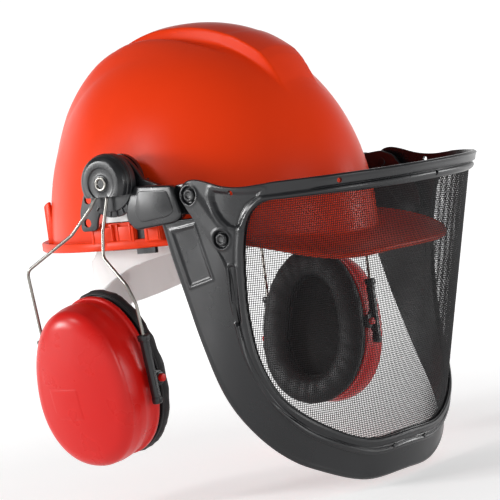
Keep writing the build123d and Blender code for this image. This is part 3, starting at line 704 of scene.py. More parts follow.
MID_Z = -60.0
WINDOW_SIDE = [(-146, 25.0), (-128, 24), (-117.5, 15), (-111.5, -3), (-108, -27), (-106.5, -52), (-108.5, -82),
               (-117, -109), (-131, -131)]
FRAME_SIDE = [(-144, 37), (-130.9, 36.4), (-114.7, 35.8), (-100.8, 37.6), (-86.5, 42), (-78, 43.6),
              (-71.5, 42.2), (-67.0, 37.5), (-66.8, 31.5), (-76, 16.5), (-86.3, 2.0), (-93.2, -9),
              (-95.8, -20.5), (-96, -40), (-98, -72), (-104, -96), (-113, -119), (-125, -139)]
GUARD_SIDE = [(-51, -6), (-59, -35), (-68, -67), (-81, -103), (-95, -127.5), (-109, -147), (-121, -160)]


def half_outline(points, top, bottom):
    """Curve through one side's (y, z) points, as (arc distance, z), closed towards the middle."""
    half = [] if top is None else [(0.0, top), (40.0, top)]
    half += [(side_to_q(y, z), z) for y, z in points]
    return spline(half + [(42.0, bottom + 0.8), (0.0, bottom)], 700)


def radius_of(curve):
    """Radius about the middle of the window by angle."""
    angle = np.arctan2(curve[:, 1] - MID_Z, curve[:, 0])
    order = np.argsort(angle)
    radius = np.hypot(curve[:, 0], curve[:, 1] - MID_Z)
    return angle[order], radius[order]


def line(start, end, count):
    return start + np.linspace(0, 1, count)[:, None] * (end - start)


WINDOW = radius_of(half_outline(WINDOW_SIDE, 24.0, -146.5))
FRAME = radius_of(half_outline(FRAME_SIDE, 37.0, -158.0))
GUARD_CORNER = np.array((side_to_q(-46.0, 17.5), 17.5))
GUARD_INNER_CORNER = np.array((side_to_q(-76, 18.2), 18.2))
guard_curve = half_outline(GUARD_SIDE, None, -175.0)
GUARD = radius_of(np.vstack([line(GUARD_INNER_CORNER, GUARD_CORNER, 40), line(GUARD_CORNER, guard_curve[0], 60),
                             guard_curve]))


def angle_of(place):
    return math.atan2(place[1] - MID_Z, place[0])


def fold(angle):
    """Angle on the left half plane folded to the right one."""
    return np.arctan2(np.sin(angle), np.abs(np.cos(angle)))


def radius_at(table, angle):
    return np.interp(fold(angle), table[0], table[1])


def segment_distance(y, z, a, b):
    ey, ez = b[0] - a[0], b[1] - a[1]
    t = np.clip(((y - a[0]) * ey + (z - a[1]) * ez) / (ey * ey + ez * ez), 0, 1)
    return np.hypot(y - a[0] - t * ey, z - a[1] - t * ez)


def polygon_distance(y, z, polygon):
    """Signed distance to a polygon, negative inside."""
    best = np.full(np.shape(y), 1e9)
    inside = np.zeros(np.shape(y), bool)
    for a, b in zip(polygon, polygon[1:] + polygon[:1]):
        best = np.minimum(best, segment_distance(y, z, a, b))
        if a[1] != b[1]:
            reached = (a[1] > z) != (b[1] > z)
            inside ^= reached & (y < (b[0] - a[0]) * (z - a[1]) / (b[1] - a[1]) + a[0])
    return np.where(inside, -best, best)


def ridge(distance, width):
    """A rounded ridge one high along a line."""
    return np.exp(-(distance / width) ** 2)


PINS = ((-74.7, 33.5), (-97.0, 2.5))
PANEL = [(-94.0, 35.8), (-109, 33.2), (-122, 32.2), (-130, 32.2), (-124.8, 24.5), (-117.4, 17), (-112.3, 9.6),
         (-107.5, 8.8), (-103.2, 10.5), (-98.8, 15.0), (-95.0, 21.0), (-92.8, 27.5), (-92.2, 32)]
SLOT = ((-101.3, -18.0), (-99.4, -52.5))
FRAME_OUT, FRAME_IN = 3.6, 1.0


def frame_relief(q, z, from_window, from_edge):
    """How far the frame's outer face stands out, with its beads, rib, sunk panel and slot."""
    y = q_to_side(q, z)
    side = smooth(95, 108, np.abs(q))
    # raised bead beside the window and a groove behind it
    out = FRAME_OUT + 0.55 * ridge(from_window - 3.2, 1.5) - 0.55 * ridge(from_window - 6.3, 0.7)
    # bead along the outer edge below the pins
    low = 1 - smooth(-12, 2, z)
    out = out + low * 0.5 * (ridge(from_edge - 1.8, 1.1) - ridge(from_edge - 4.0, 0.6))
    # stepped top band
    band = smooth(16, 22, z) * (1 - side)
    out = out + band * (smooth(29.4, 30.6, z) - 0.7 * ridge(z - 29.3, 0.6) + 0.5 * ridge(z - 35.4, 0.9))
    # rounded rib that joins the two pins
    out = out + side * 1.1 * (1 - smooth(3.0, 9.0, segment_distance(y, z, *PINS)))
    # sunk panel and slot, each with a raised rim
    panel = polygon_distance(y, z, PANEL)
    out = out + side * (0.3 * ridge(panel - 1.8, 1.2) - 1.5 * (1 - smooth(-2.6, 0.3, panel)))
    slot = segment_distance(y, z, *SLOT)
    out = out + side * (0.3 * ridge(slot - 3.7, 0.8) - 1.3 * (1 - smooth(1.7, 3.0, slot)))
    # a round seat for each pin's head
    for centre in PINS:
        d = np.hypot(y - centre[0], z - centre[1])
        out = np.where(side > 0.5, out + 0.35 * ridge(d - 6.9, 0.9), out)
        seat = side * (1 - smooth(5.2, 6.3, d))
        out = out * (1 - seat) + 2.2 * seat
    # rounded edges
    return out - 1.1 * (1 - smooth(0, 1.4, np.minimum(from_window, from_edge)))


def visor_ring(angles, inner, outer, cols, relief, inside, closed=True):
    """A sheet on the visor surface between two polar radii, with a relief outside and a flat inside."""
    rows = []
    for share in np.linspace(0, 1, cols):
        r = inner + (outer - inner) * share
        q, z = r * np.cos(angles), MID_Z + r * np.sin(angles)
        rows.append(visor_point(q, z, relief(q, z, r - inner, outer - r)))
    for share in np.linspace(1, 0, max(4, cols // 8)):
        r = inner + (outer - inner) * share
        rows.append(visor_point(r * np.cos(angles), MID_Z + r * np.sin(angles), inside))
    n, m = len(rows), len(angles)
    faces = grid_faces(n, m, close_rows=True, close_cols=closed)
    if not closed:
        faces += strip_ends(n, m)
    return np.vstack(rows), faces


def through(q, z, radius, depth=14.0):
    """A round cutter along the visor's normal."""
    a, b = visor_point(q, z, -depth), visor_point(q, z, depth)
    return tube([a + (b - a) * t for t in (0, 0.5, 1)], radius, 20)


def build_frame():
    """The moulding with holes for the screws; angles lie closer together along the lobes."""
    lobe_from, lobe_to = math.radians(8), math.radians(36)
    left = np.concatenate([np.linspace(-math.pi / 2, lobe_from, 210)[:-1], np.linspace(lobe_from, lobe_to, 300),
                           np.linspace(lobe_to, math.pi / 2, 130)[1:]])
    angles = np.concatenate([left, math.pi - left[::-1][1:-1]])
    ring = visor_ring(angles, radius_at(WINDOW, angles), radius_at(FRAME, angles), 112, frame_relief, FRAME_IN)
    piece = to_object("visor_frame_moulding", *ring, BLACK, "visor", ["visor_frame"], "black_plastic", sharp=50)
    lobe_q = side_to_q(-108.3, 32.5)
    holes = [(-lobe_q, 32.5), (lobe_q, 32.5), (-87.0, 32.6), (87.0, 32.6), (0.0, 27.4)]
    bore(piece, [through(q, z, 1.75) for q, z in holes])
    piece.data.shade_smooth()
    piece.data.set_sharp_from_angle(angle=math.radians(50))


build_frame()

LABEL = [(-53.0, 11.0), (-74.5, 14.0), (-84.6, -24), (-63.8, -29)]


def guard_relief(q, z, from_inner, from_edge):
    """Outer face of the chin guard, with a sunk blank panel on each side and a bead along its edge."""
    label = polygon_distance(q_to_side(q, z), z, LABEL)
    side = smooth(100, 115, np.abs(q))
    out = 0.8 + side * (0.4 * ridge(label + 0.4, 0.9) - 0.5 * (1 - smooth(-2.6, -1.2, label)))
    out = out + 0.35 * ridge(from_edge - 1.8, 1.4)
    return out - 0.7 * (1 - smooth(0, 1.2, from_edge))


def build_guard():
    start, corner_angle = angle_of(GUARD_INNER_CORNER), angle_of(GUARD_CORNER)
    bend = corner_angle - 0.3
    left = np.concatenate([np.linspace(start, corner_angle, 26), np.linspace(corner_angle, bend, 90)[1:],
                           np.linspace(bend, -math.pi / 2, 330)[1:]])
    angles = np.concatenate([left, -math.pi - left[::-1][1:]])
    outer = radius_at(GUARD, angles)
    inner = np.minimum(radius_at(FRAME, angles) - 7.0, outer - 2.0)
    return visor_ring(angles, inner, outer, 60, guard_relief, SHEET_IN, closed=False)


def build_retainer():
    """The ring behind the mesh shows a narrow rim inside the window."""
    angles = np.linspace(0, 2 * math.pi, 700, endpoint=False)
    window = radius_at(WINDOW, angles)
    return visor_ring(angles, window - 0.4, window + 4.6, 6, lambda q, *_: np.full(len(q), -0.05), SHEET_IN)


SHEET_IN = -1.6
to_object("chin_guard_sheet", *build_guard(), BLACK, "visor", ["chin_guard"], "black_plastic", sharp=50)
to_object("retaining_ring", *build_retainer(), BLACK, "visor", ["retaining_frame"], "black_plastic", sharp=50)

# ---------------------------------------------------------------- woven mesh

PITCH = 1.5
WIRE_RADIUS, WIRE_SIDES = 0.27, 3
WIRE_OUT, WIRE_WAVE = 0.42, 0.17       # middle of the screen, and how far a wire waves to each side
WIRE_MARGIN = 2.6                      # the wires end behind the frame


def crossings(key, value, level):
    """Values where an outline crosses a level of its other coordinate."""
    above = key > level
    at = np.nonzero(above[1:] != above[:-1])[0]
    t = (level - key[at]) / (key[at + 1] - key[at])
    return value[at] + t * (value[at + 1] - value[at])


def level_wires(rim_q, rim_z):
    """Arc distances, heights and wave of each wire that runs across the screen."""
    for index, z in enumerate(np.arange(-102, 46) * PITCH):
        found = np.abs(crossings(rim_z, rim_q, z))
        inside = rim_z.min() + 0.3 < z < rim_z.max() - 0.3
        if inside and found.size and found.max() >= 3:
            q = np.arange(0, found.max() + PITCH / 2, PITCH / 2)
            yield q, np.full(len(q), z), WIRE_WAVE * np.cos(math.pi * (q / PITCH + index))


def upright_wires(rim_q, rim_z, first):
    """The same for each wire that runs down it, which waves the other way."""
    for index in range(first, first + 142):
        found = crossings(rim_q, rim_z, max(index * PITCH, 0.05)) / (PITCH / 2)
        if len(found) < 2:
            continue
        k = np.arange(math.ceil(found.min()), math.floor(found.max()) + 1)
        if len(k) > 2:
            wave = -WIRE_WAVE * np.cos(math.pi * (index + k / 2))
            yield np.full(len(k), index * PITCH), k * PITCH / 2, wave


def weave(name, wires, half, nodes=()):
    """One half of the screen's wires in one direction."""
    verts, faces, count = [], [], 0
    for q, z, wave in wires:
        verts.append(wire_mesh(half * q, z, WIRE_OUT + wave))
        faces += grid_faces(len(z), WIRE_SIDES, close_cols=True, start=count)
        count += len(z) * WIRE_SIDES
    obj = mesh_object(name, np.vstack(verts), faces)
    obj.data.materials.append(WIRE)
    obj.data.shade_smooth()
    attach(obj, "visor")
    if nodes:
        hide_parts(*nodes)


def wire_mesh(q, z, out):
    centre = visor_point(q, z, out)
    normal = visor_point(q, z, out + 1.0) - centre
    along = np.gradient(centre, axis=0)
    along /= np.linalg.norm(along, axis=1)[:, None]
    across = np.cross(along, normal)
    rows = []
    for k in range(WIRE_SIDES):
        a = 2 * math.pi * k / WIRE_SIDES + 0.5
        rows.append(centre + WIRE_RADIUS * (normal * math.cos(a) + across * math.sin(a)))
    return np.stack(rows, 1).reshape(-1, 3)


rim_angles = np.linspace(-math.pi / 2, math.pi / 2, 900)
rim_radius = radius_at(WINDOW, rim_angles) + WIRE_MARGIN
rim = (rim_radius * np.cos(rim_angles), MID_Z + rim_radius * np.sin(rim_angles))
# the middle wire belongs to the left half, so the right half starts at the next one
weave("screen_wires_level_right", level_wires(*rim), -1, ["mesh_screen"])
weave("screen_wires_upright_right", upright_wires(*rim, 1), -1)
weave("screen_wires_level_left", level_wires(*rim), 1)
weave("screen_wires_upright_left", upright_wires(*rim, 0), 1)

# ---------------------------------------------------------------- pins


def head_profile(inner, outer, shank, radius):
    return rounded_profile([(inner, 0.3), (inner, shank), (outer - 1.7, shank), (outer - 1.7, radius - 0.2),
                            (outer - 1.5, radius), (outer - 0.6, radius), (outer, radius - 0.9), (outer, 2.6),
                            (outer - 0.8, 2.0), (outer - 0.8, 0.3)], 0.35, 4)


def pin_part(centre, side):
    v, f = lathe(head_profile(111.2, 122.4, 2.95, 4.6), 48)
    v = np.array(v)
    # six shallow flats make the head look moulded
    ang = np.arctan2(v[:, 2], v[:, 1])
    rad = np.hypot(v[:, 1], v[:, 2])
    head = (v[:, 0] < -119.6) & (rad > 3.4)
    scale = np.where(head, 1 - 0.07 * (0.5 + 0.5 * np.cos(6 * ang)), 1)
    v[:, 1] *= scale
    v[:, 2] *= scale
    v += np.array((0, centre[0], centre[1]))
    return (v, f) if side < 0 else mirror_x((v, f))


to_object("visor_snap_pins", *merge(*[pin_part(c, s) for c in PINS for s in (-1, 1)]), BLACK, "visor",
          ["snap_pins"], "black_plastic")

CHIN_X, CHIN_Z = 19.0, -155.0


def chin_pin_part(side):
    q = float(np.interp(CHIN_X, PLAN[:200, 0], PLAN_Q[:200])) * side
    a, b = visor_point(q, CHIN_Z, -2.2), visor_point(q, CHIN_Z, 4.3)
    path = [a + (b - a) * t for t in (0, 0.02, 0.3, 0.8, 0.93, 1.0)]
    return tube(path, 1.7, 24, taper=[0.8, 0.9, 0.9, 1.0, 0.98, 0.7])


to_object("visor_chin_pins", *merge(chin_pin_part(-1), chin_pin_part(1)), BLACK, "visor", ["chin_pins"],
          "black_plastic")

# ---------------------------------------------------------------- visor arms


def arm_part():
    hub = at_knob(lathe(rounded_profile([(108.9, 8.1), (108.9, 18.2), (113.3, 18.2), (113.3, 8.1)], 0.7), 96))
    neck = slab([(-7, 65.0), (-14, 63.6), (-22, 58.0), (-30, 47), (-44, 42), (-44, 21), (-24, 30)],
                (109.0, 113.2), 3, 0.6)
    body = slab([(-26.5, 43), (-60, 41.2), (-66, 20.4), (-59, 16.0), (-25, 13.0), (-18.2, 20), (-19.0, 29)],
                (113.6, 120.8), 3.4, 1.5)
    skirt = slab([(-27.5, 41.5), (-58, 40), (-63.6, 21), (-58, 17.6), (-27, 14.6), (-21, 21), (-21.6, 28)],
                 (112.4, 117.0), 3, 0.8)
    crown = slab([(-31, 39.4), (-56, 38.4), (-60, 23.6), (-54, 20.6), (-31, 18.0), (-26, 24)],
                 (119.6, 121.25), 3.0, 0.5)
    tongue = slab([(-50, 40), (-74, 42), (-85, 38), (-103.5, 12), (-104.5, -2), (-98, -5.4), (-90, -3.8),
                   (-72, 20), (-50, 22)], (111.9, 114.7), 3, 0.5)
    return merge(hub, neck, body, skirt, crown, tongue)


arm = arm_part()
to_object("visor_arm_moulding_right", *arm, BLACK, "visor", ["visor_arm_right"], "black_plastic")
to_object("visor_arm_moulding_left", *mirror_x(arm), BLACK, "visor", ["visor_arm_left"], "black_plastic")

# ---------------------------------------------------------------- knob stack


def flat_foot(part, level):
    v, f = part
    v = np.array(v)
    v[:, 2] = np.maximum(v[:, 2], level)
    return v, f


def cap_part():
    """Domed knob in two tiers, cut level below for the yoke."""
    profile = rounded_profile([(121.4, 5.2), (121.4, 19.6), (122.0, 20.2), (124.6, 19.8), (124.9, 19.2),
                               (125.3, 19.1), (125.7, 19.2), (128.2, 18.4), (130.0, 15.6), (130.0, 11.2),
                               (129.2, 10.7), (129.1, 6.2), (129.6, 5.8), (129.6, 3.2)], 0.6, 4)
    return flat_foot(at_knob(lathe(profile, 128)), KNOB[1] - 9.0)


def fan_part():
    disc = at_knob(lathe(rounded_profile([(116.1, 8.2), (116.1, 19.8), (121.0, 19.8), (121.0, 8.2)], 0.5), 96))
    parts = [disc]
    lo, hi = math.radians(228), math.radians(312)
    arc = [(KNOB[0] + 12 * math.cos(a), KNOB[1] + 12 * math.sin(a)) for a in (hi, lo)]
    rim = [(KNOB[0] + 24 * math.cos(a), KNOB[1] + 24 * math.sin(a)) for a in np.linspace(lo, hi, 22)]
    parts.append(slab(arc + rim, (116.7, 119.6), 0.9, 0.4, 3))
    for i in range(6):
        a = math.radians(232 + 15.2 * i)
        c, s = math.cos(a), math.sin(a)
        outline = [(KNOB[0] + r * c - w * s, KNOB[1] + r * s + w * c)
                   for r, w in ((15, -0.7), (23.4, -0.55), (23.4, 0.55), (15, 0.7))]
        parts.append(slab(outline, (119.0, 120.5), 0.3, 0.3, 3))
    return merge(*parts)


def bracket_part():
    """Plate for a chin strap, with two holes."""
    outline = [(-10, 57), (-10.5, 34), (7.5, 28.6), (11.4, 22), (13, 14.8), (26.6, 14.6), (26.3, 28), (21, 41),
               (10, 46), (2, 57)]
    return slab(outline, (113.9, 115.9), 3.0, 0.4)


def rivet_part():
    eyelet = rounded_profile([(128.6, 3.4), (128.6, 4.7), (130.3, 4.9), (130.7, 4.4), (130.6, 3.3),
                              (129.4, 2.7), (127.2, 2.3), (127.2, 0.3)], 0.4, 4)
    return at_knob(lathe(eyelet, 64))


def rivet_core():
    core = rounded_profile([(106.0, 0.3), (106.0, 2.7), (128.2, 2.7), (128.8, 1.8), (129.1, 0.3)], 0.4, 3)
    return at_knob(lathe(core, 48))


def as_made(part):
    return part


def swung_mirror(part):
    return swing_left(mirror_x(part))


BRACKET_HOLES = ((18.0, 36.5), (20.5, 20.5))
for word, flip, turn, sign in (("right", as_made, as_made, -1), ("left", mirror_x, swung_mirror, 1)):
    to_object(f"knob_{word}", *turn(cap_part()), BLACK, f"muff_carrier_{word}", [f"knob_cap_{word}"],
              "black_plastic")
    to_object(f"click_fan_{word}", *flip(fan_part()), GREY, "helmet", [f"detent_fan_{word}"], "grey_plastic")
    plate = to_object(f"strap_plate_{word}", *flip(bracket_part()), GREY, "helmet", [f"strap_bracket_{word}"],
                      "grey_plastic")
    bore(plate, [tube([(sign * d, y, z) for d in (111, 115, 119)], 3.1, 28) for y, z in BRACKET_HOLES])
    plate.data.set_sharp_from_angle(angle=math.radians(40))
    to_object(f"eyelet_{word}", *flip(rivet_part()), STEEL, "helmet", [f"hub_rivet_{word}"], "steel")
    to_object(f"rivet_core_{word}", *flip(rivet_core()), BLACK, "helmet", (), "black_plastic")

# ---------------------------------------------------------------- yokes and holders

STEM_TOP = (136.0, -22.0)
FRONT_Y, REAR_Y = -28.6, 61.6


def stem_dist(z):
    return STEM_TOP[0] - (STEM_TOP[1] - z) * math.tan(STEM_LEAN)


def leg_points(front):
    if front:
        pts = [(BAR_DIST, -7.0, 39.0), (127.5, -2.0, 15), (130.5, -2.0, -3), (stem_dist(-22), FRONT_Y + 5, -22),
               (stem_dist(-36), FRONT_Y, -36), (stem_dist(-92), FRONT_Y, -92)]
    else:
        pts = [(BAR_DIST, 3.0, 39.0), (127.0, 7.0, 31), (130.0, 24, 14), (stem_dist(-8), REAR_Y, -8),
               (stem_dist(-92), REAR_Y, -92)]
    return [np.array((-d, y, z)) for d, y, z in pts]


def left_leg_point(p, index):
    """Mirrored and swung with the muff; only the first point, in the cap, isn't twisted."""
    part = ([p * np.array((-1, 1, 1))], [])
    return swing_left(yaw_left(part) if index else part)[0][0]


def rounded_path(route, radius=7.0, steps=9):
    out = [route[0]]
    for a, b, c in zip(route, route[1:], route[2:]):
        ab, cb = np.linalg.norm(b - a), np.linalg.norm(c - b)
        half = 0.5 * math.acos(np.clip(np.dot(a - b, c - b) / ab / cb, -1, 1))
        cut = min(radius, 0.35 * ab, 0.35 * cb) / max(math.tan(half), 0.05)
        out += corner(a, b, c, cut, steps)
    return out + [route[-1]]


def yoke_part(left):
    rear, front = leg_points(False), leg_points(True)
    if left:
        rear, front = [[left_leg_point(p, i) for i, p in enumerate(leg)] for leg in (rear, front)]
    return tube(rounded_path(rear[::-1] + front), 1.15, 20)


STUB_DIST, STUB_Z = 118.5, -88.0


def across_y(part, y):
    """Turn a part that was made along -X to lie along Y on the stubs' line."""
    v, f = part
    return np.stack([v[:, 1] - STUB_DIST, y + v[:, 0], v[:, 2] + STUB_Z], 1), f


def holder_part(y, ear_side):
    """Ribbed slider tube with its top collar, lower cap and the ear round the cup's stub."""
    axis = np.array((math.sin(STEM_LEAN), 0, -math.cos(STEM_LEAN)))
    top = np.array((-stem_dist(-57), y, -57.0))
    side = np.array((0, 1.0, 0))
    out = np.cross(axis, side)
    rows = []
    profile = rounded_profile([(-0.2, 1.6), (-0.2, 3.5), (0.4, 4.0), (3.4, 4.0), (4.2, 3.3), (5.0, 3.1),
                               (43.4, 3.0), (44.2, 3.4), (47.4, 3.4), (48.3, 2.8), (48.5, 0.5)], 0.3, 3)
    sides = 40
    for along, r in profile:
        for k in range(sides):
            a = 2 * math.pi * k / sides
            # the tube is a little flat-sided, with two grooves
            groove = 0.35 if 6 < along < 43 and abs(math.sin(a)) > 0.93 else 0.0
            flat = 1 - 0.06 * math.cos(4 * a)
            rows.append(top + axis * along + (side * math.cos(a) + out * math.sin(a)) * (r - groove) * flat)
    faces = grid_faces(len(profile), sides, close_cols=True) + end_caps(len(profile), sides)
    ear_y = y + ear_side * 1.4
    outline = [(-stem_dist(-77) - 0.5, -77), (-121.6, -82.6), (-117.6, -82.6), (-114.4, -85.4),
               (-113.6, -88.4), (-115.0, -92.0), (-118.6, -93.4), (-122.0, -93.0), (-stem_dist(-99) - 0.5, -99)]
    v, ear_faces = slab(outline, (-1.25, 1.25), 2.2, 0.35)
    ear = (np.stack([v[:, 1], ear_y + v[:, 0], v[:, 2]], 1), ear_faces)
    rim_profile = rounded_profile([(-1.9, 2.9), (-1.9, 4.3), (1.9, 4.3), (1.9, 2.9)], 0.4, 3)
    return merge((np.array(rows), faces), ear, across_y(lathe(rim_profile, 40), ear_y))


# ---------------------------------------------------------------- cups

CUP_ORIGIN = np.array((-119.0, 16.5, -85.0))
CUP_TILT = math.radians(10.5)
CUP_OUT = np.array((-math.cos(CUP_TILT), 0, -math.sin(CUP_TILT)))
CUP_X = np.array((0, 1.0, 0))
CUP_DOWN = np.cross(CUP_OUT, CUP_X)
HALF_W, HALF_H = 41.5, 57.5
CUP_POWER, CUSHION_POWER = 2.15, 2.1
CROWN = 5.0                            # how far the face bulges out
SHOULDER_TURN = 1.18                   # radians that the shoulder turns before the face begins
FACE_RIM_SHRINK, FACE_RIM_OUT = 11.9, 35.93
EGG = -0.07                            # the cup is a little wider low down
CUP_ROLL = math.radians(-4.5)          # and its foot points a little backwards


def cup_place(u, v, w):
    """Cup frame: u towards the back, v up the face, w out of the face."""
    u, v, w = np.broadcast_arrays(u, v, w)
    return CUP_ORIGIN + u[..., None] * CUP_X - v[..., None] * CUP_DOWN + w[..., None] * CUP_OUT


def oval_ring(angles, shrink, power=CUP_POWER):
    c, s = np.cos(angles), np.sin(angles)
    r = (np.abs(c / (HALF_W - shrink)) ** power + np.abs(s / (HALF_H - shrink)) ** power) ** (-1 / power)
    u, v = r * c * (1 + EGG * s), r * s
    return u * math.cos(CUP_ROLL) + v * math.sin(CUP_ROLL), v * math.cos(CUP_ROLL) - u * math.sin(CUP_ROLL)


def full_turn(steps):
    return np.linspace(0, 2 * math.pi, steps, endpoint=False)


def oval_rows(section, angles, power=CUP_POWER):
    """Rings of the cup's oval at (shrink, out) pairs."""
    return [cup_place(*oval_ring(angles, shrink, power), out) for shrink, out in section]


def cup_part():
    steps = 220
    angles = full_turn(steps)
    # flange, waist, wall, rounded shoulder and gently crowned face, as (shrink, out) pairs
    profile = rounded_profile([(2.2, 0.1), (0.0, 0.1), (0.0, 3.6), (1.8, 4.4), (1.9, 8.0), (0.6, 14.0),
                               (0.5, 20.0), (1.4, 26.5)], 1.2, 5)
    for t in np.linspace(0, SHOULDER_TURN, 18):
        profile.append((1.4 + 17.0 * (1 - math.cos(t)), 26.5 + 10.2 * math.sin(t)))
    rows = []
    for shrink, out in profile:
        u, v = oval_ring(angles, shrink)
        # the wall is pressed in a little at the front and back, under the holders
        press = 1.3 * np.exp(-(v / 30) ** 2) * smooth(5, 12, out) * (1 - smooth(24, 30, out))
        rows.append(cup_place(u - np.sign(u) * press, v, out))
    rim_shrink, rim_out = profile[-1]
    u, v = oval_ring(angles, rim_shrink)
    for t in np.linspace(0.97, 0.03, 30):
        rows.append(cup_place(u * t, v * t, rim_out + CROWN * (1 - t ** 2)))
    faces = grid_faces(len(rows), steps, close_cols=True)
    start = len(rows) * steps + 1
    faces += fan(start - 1, start - 1 - steps, steps)
    rows.append(cup_place(0.0, 0.0, rim_out + CROWN)[None])
    # inside
    inner = oval_rows([(2.2, 0.1), (3.0, 0.4), (3.6, 3.0), (3.8, 24.0), (7.0, 29.5), (15.0, 33.0)], angles)
    u, v = oval_ring(angles, 15.0)
    inner += [cup_place(u * t, v * t, 33.6) for t in (0.7, 0.4, 0.1)]
    faces += grid_faces(len(inner), steps, close_cols=True, start=start)
    end = start + (len(inner) - 1) * steps
    faces.append(tuple(range(end, end + steps)))
    return np.vstack(rows + inner), faces


def face_height(u, v):
    """Distance of the cup's crowned face from its seat."""
    across = u * math.cos(CUP_ROLL) - v * math.sin(CUP_ROLL)
    along = v * math.cos(CUP_ROLL) + u * math.sin(CUP_ROLL)
    share = np.hypot(across / (HALF_W - FACE_RIM_SHRINK), along / (HALF_H - FACE_RIM_SHRINK))
    return FACE_RIM_OUT + CROWN * (1 - share ** 2)


def face_pad():
    """Blank label pad, slightly raised."""
    rows, half_w, half_h = 20, 14, 12
    across, along = np.meshgrid(np.linspace(-half_w, half_w, rows), np.linspace(-half_h, half_h, rows))
    across, along = across.ravel(), along.ravel()
    edge = np.minimum(half_w - np.abs(across), half_h - np.abs(along))
    u, v = across + 8, along - 7
    return cup_place(u, v, face_height(u, v) - 0.3 + 0.55 * smooth(0, 0.8, edge)), grid_faces(rows, rows)


def seat_part():
    section = [(17.4, -2.4), (2.0, -2.4), (1.6, -0.3), (17.4, -0.3), (17.4, -2.4)]
    rows = oval_rows(rounded_profile(section, 0.4, 3)[:-1], full_turn(160))
    return np.vstack(rows), grid_faces(len(rows), 160, close_rows=True, close_cols=True)


def foam_part():
    """Open-cell insert with a softly dished face."""
    steps = 140
    angles = full_turn(steps)
    u, v = oval_ring(angles, 9.8)
    rows = [cup_place(u * t, v * t, out) for t, out in ((0.94, 19.0), (1.0, 18.0), (1.0, 4.0), (0.97, 2.4))]
    for t in np.linspace(0.93, 0.04, 18):
        dish = 2.0 + 2.2 * (1 - t) + 0.35 * np.sin(angles * 9 + t * 22) * t
        rows.append(cup_place(u * t, v * t, dish))
    return np.vstack(rows), grid_faces(len(rows), steps, close_cols=True) + end_caps(len(rows), steps)


def stub_part():
    parts = []
    for inner, outer in ((16.5 - HALF_W - 0.1, FRONT_Y - 3.2), (16.5 + HALF_W + 0.1, REAR_Y + 3.2)):
        profile = rounded_profile([(inner, 0.3), (inner, 3.4), (inner + (outer - inner) * 0.12, 3.4),
                                   (inner + (outer - inner) * 0.18, 2.75), (outer, 2.75), (outer, 0.3)], 0.5, 3)
        v, f = lathe(profile, 36)
        parts.append(across_y((v * np.array((-1, 1, 1)), f), 0))
    return merge(*parts)


def cushion_base():
    """Ring cushion before it is blown up: outer and inner walls, rounded."""
    section = [(0.8, -3.2), (-1.8, -5.0), (-2.4, -8.0), (-0.9, -11.2), (3.2, -12.8), (9.5, -13.3),
               (14.5, -12.6), (18.2, -10.4), (19.6, -7.0), (19.4, -4.6), (18.0, -3.1), (10.0, -2.95)]
    rows = oval_rows(section, full_turn(150), CUSHION_POWER)
    return np.vstack(rows), grid_faces(len(rows), 150, close_rows=True, close_cols=True)


def inflate(obj, cap):
    """Blow the cushion up as cloth, and hold every point within cap metres of where it began."""
    remesh = obj.modifiers.new("remesh", "REMESH")
    remesh.mode = "VOXEL"
    remesh.voxel_size = 0.0032
    apply_modifiers(obj)
    rest = np.array([v.co for v in obj.data.vertices], float)
    group = obj.vertex_groups.new(name="pin")
    depth = (rest * 1000 - CUP_ORIGIN) @ CUP_OUT
    group.add([int(i) for i in np.nonzero(depth > -4.2)[0]], 1.0, "REPLACE")
    cloth = obj.modifiers.new("cloth", "CLOTH")
    cloth.settings.use_pressure = True
    cloth.settings.uniform_pressure_force = 4
    cloth.settings.effector_weights.gravity = 0
    cloth.settings.vertex_group_mass = "pin"
    cloth.settings.tension_stiffness = 18
    cloth.settings.compression_stiffness = 18
    cloth.collision_settings.use_collision = False
    cloth.point_cache.frame_start = 1
    cloth.point_cache.frame_end = 20
    scene = bpy.context.scene
    for number in range(1, 21):
        scene.frame_set(number)
    graph = bpy.context.evaluated_depsgraph_get()
    mesh = obj.evaluated_get(graph).to_mesh()
    moved = np.array([v.co for v in mesh.vertices], float)
    obj.evaluated_get(graph).to_mesh_clear()
    obj.modifiers.clear()
    scene.frame_set(1)
    shift = moved - rest
    size = np.linalg.norm(shift, axis=1)
    shift *= np.minimum(1, cap / np.maximum(size, 1e-9))[:, None]
    for vertex, co in zip(obj.data.vertices, rest + shift):
        vertex.co = co
    subdivision = obj.modifiers.new("soft", "SUBSURF")
    subdivision.levels = 1
    subdivision.render_levels = 1
    apply_modifiers(obj)


def piping():
    """Welded seam round the outside and inside of the cushion."""
    angles = np.linspace(0, 2 * math.pi, 200)
    return merge(*[tube(oval_rows([(shrink, out)], angles, CUSHION_POWER)[0], size, 10)
                   for shrink, out, size in ((0.2, -3.6, 0.9), (19.4, -4.2, 0.7))])


def cushion_part():
    """The cushion blown up, with shallow radial creases in its skin."""
    master = to_object("cushion_master", *cushion_base(), SKIN, "cup_right", sharp=0)
    inflate(master, 0.0045)
    points = np.array([v.co for v in master.data.vertices], float) * 1000
    faces = [tuple(p.vertices) for p in master.data.polygons]
    bpy.data.objects.remove(master)
    u, down, out = [(points - CUP_ORIGIN) @ way for way in (CUP_X, CUP_DOWN, CUP_OUT)]
    angle = np.arctan2(down / HALF_H, u / HALF_W)
    crease = 0.22 * np.sin(angle * 23 + 1.7 * np.sin(angle * 5)) * (1 - smooth(9, 14, np.abs(out + 4)))
    return points + CUP_OUT * crease[:, None], faces


cushion = cushion_part()


def left_muff(part):
    return swing_left(yaw_left(mirror_x(part)))


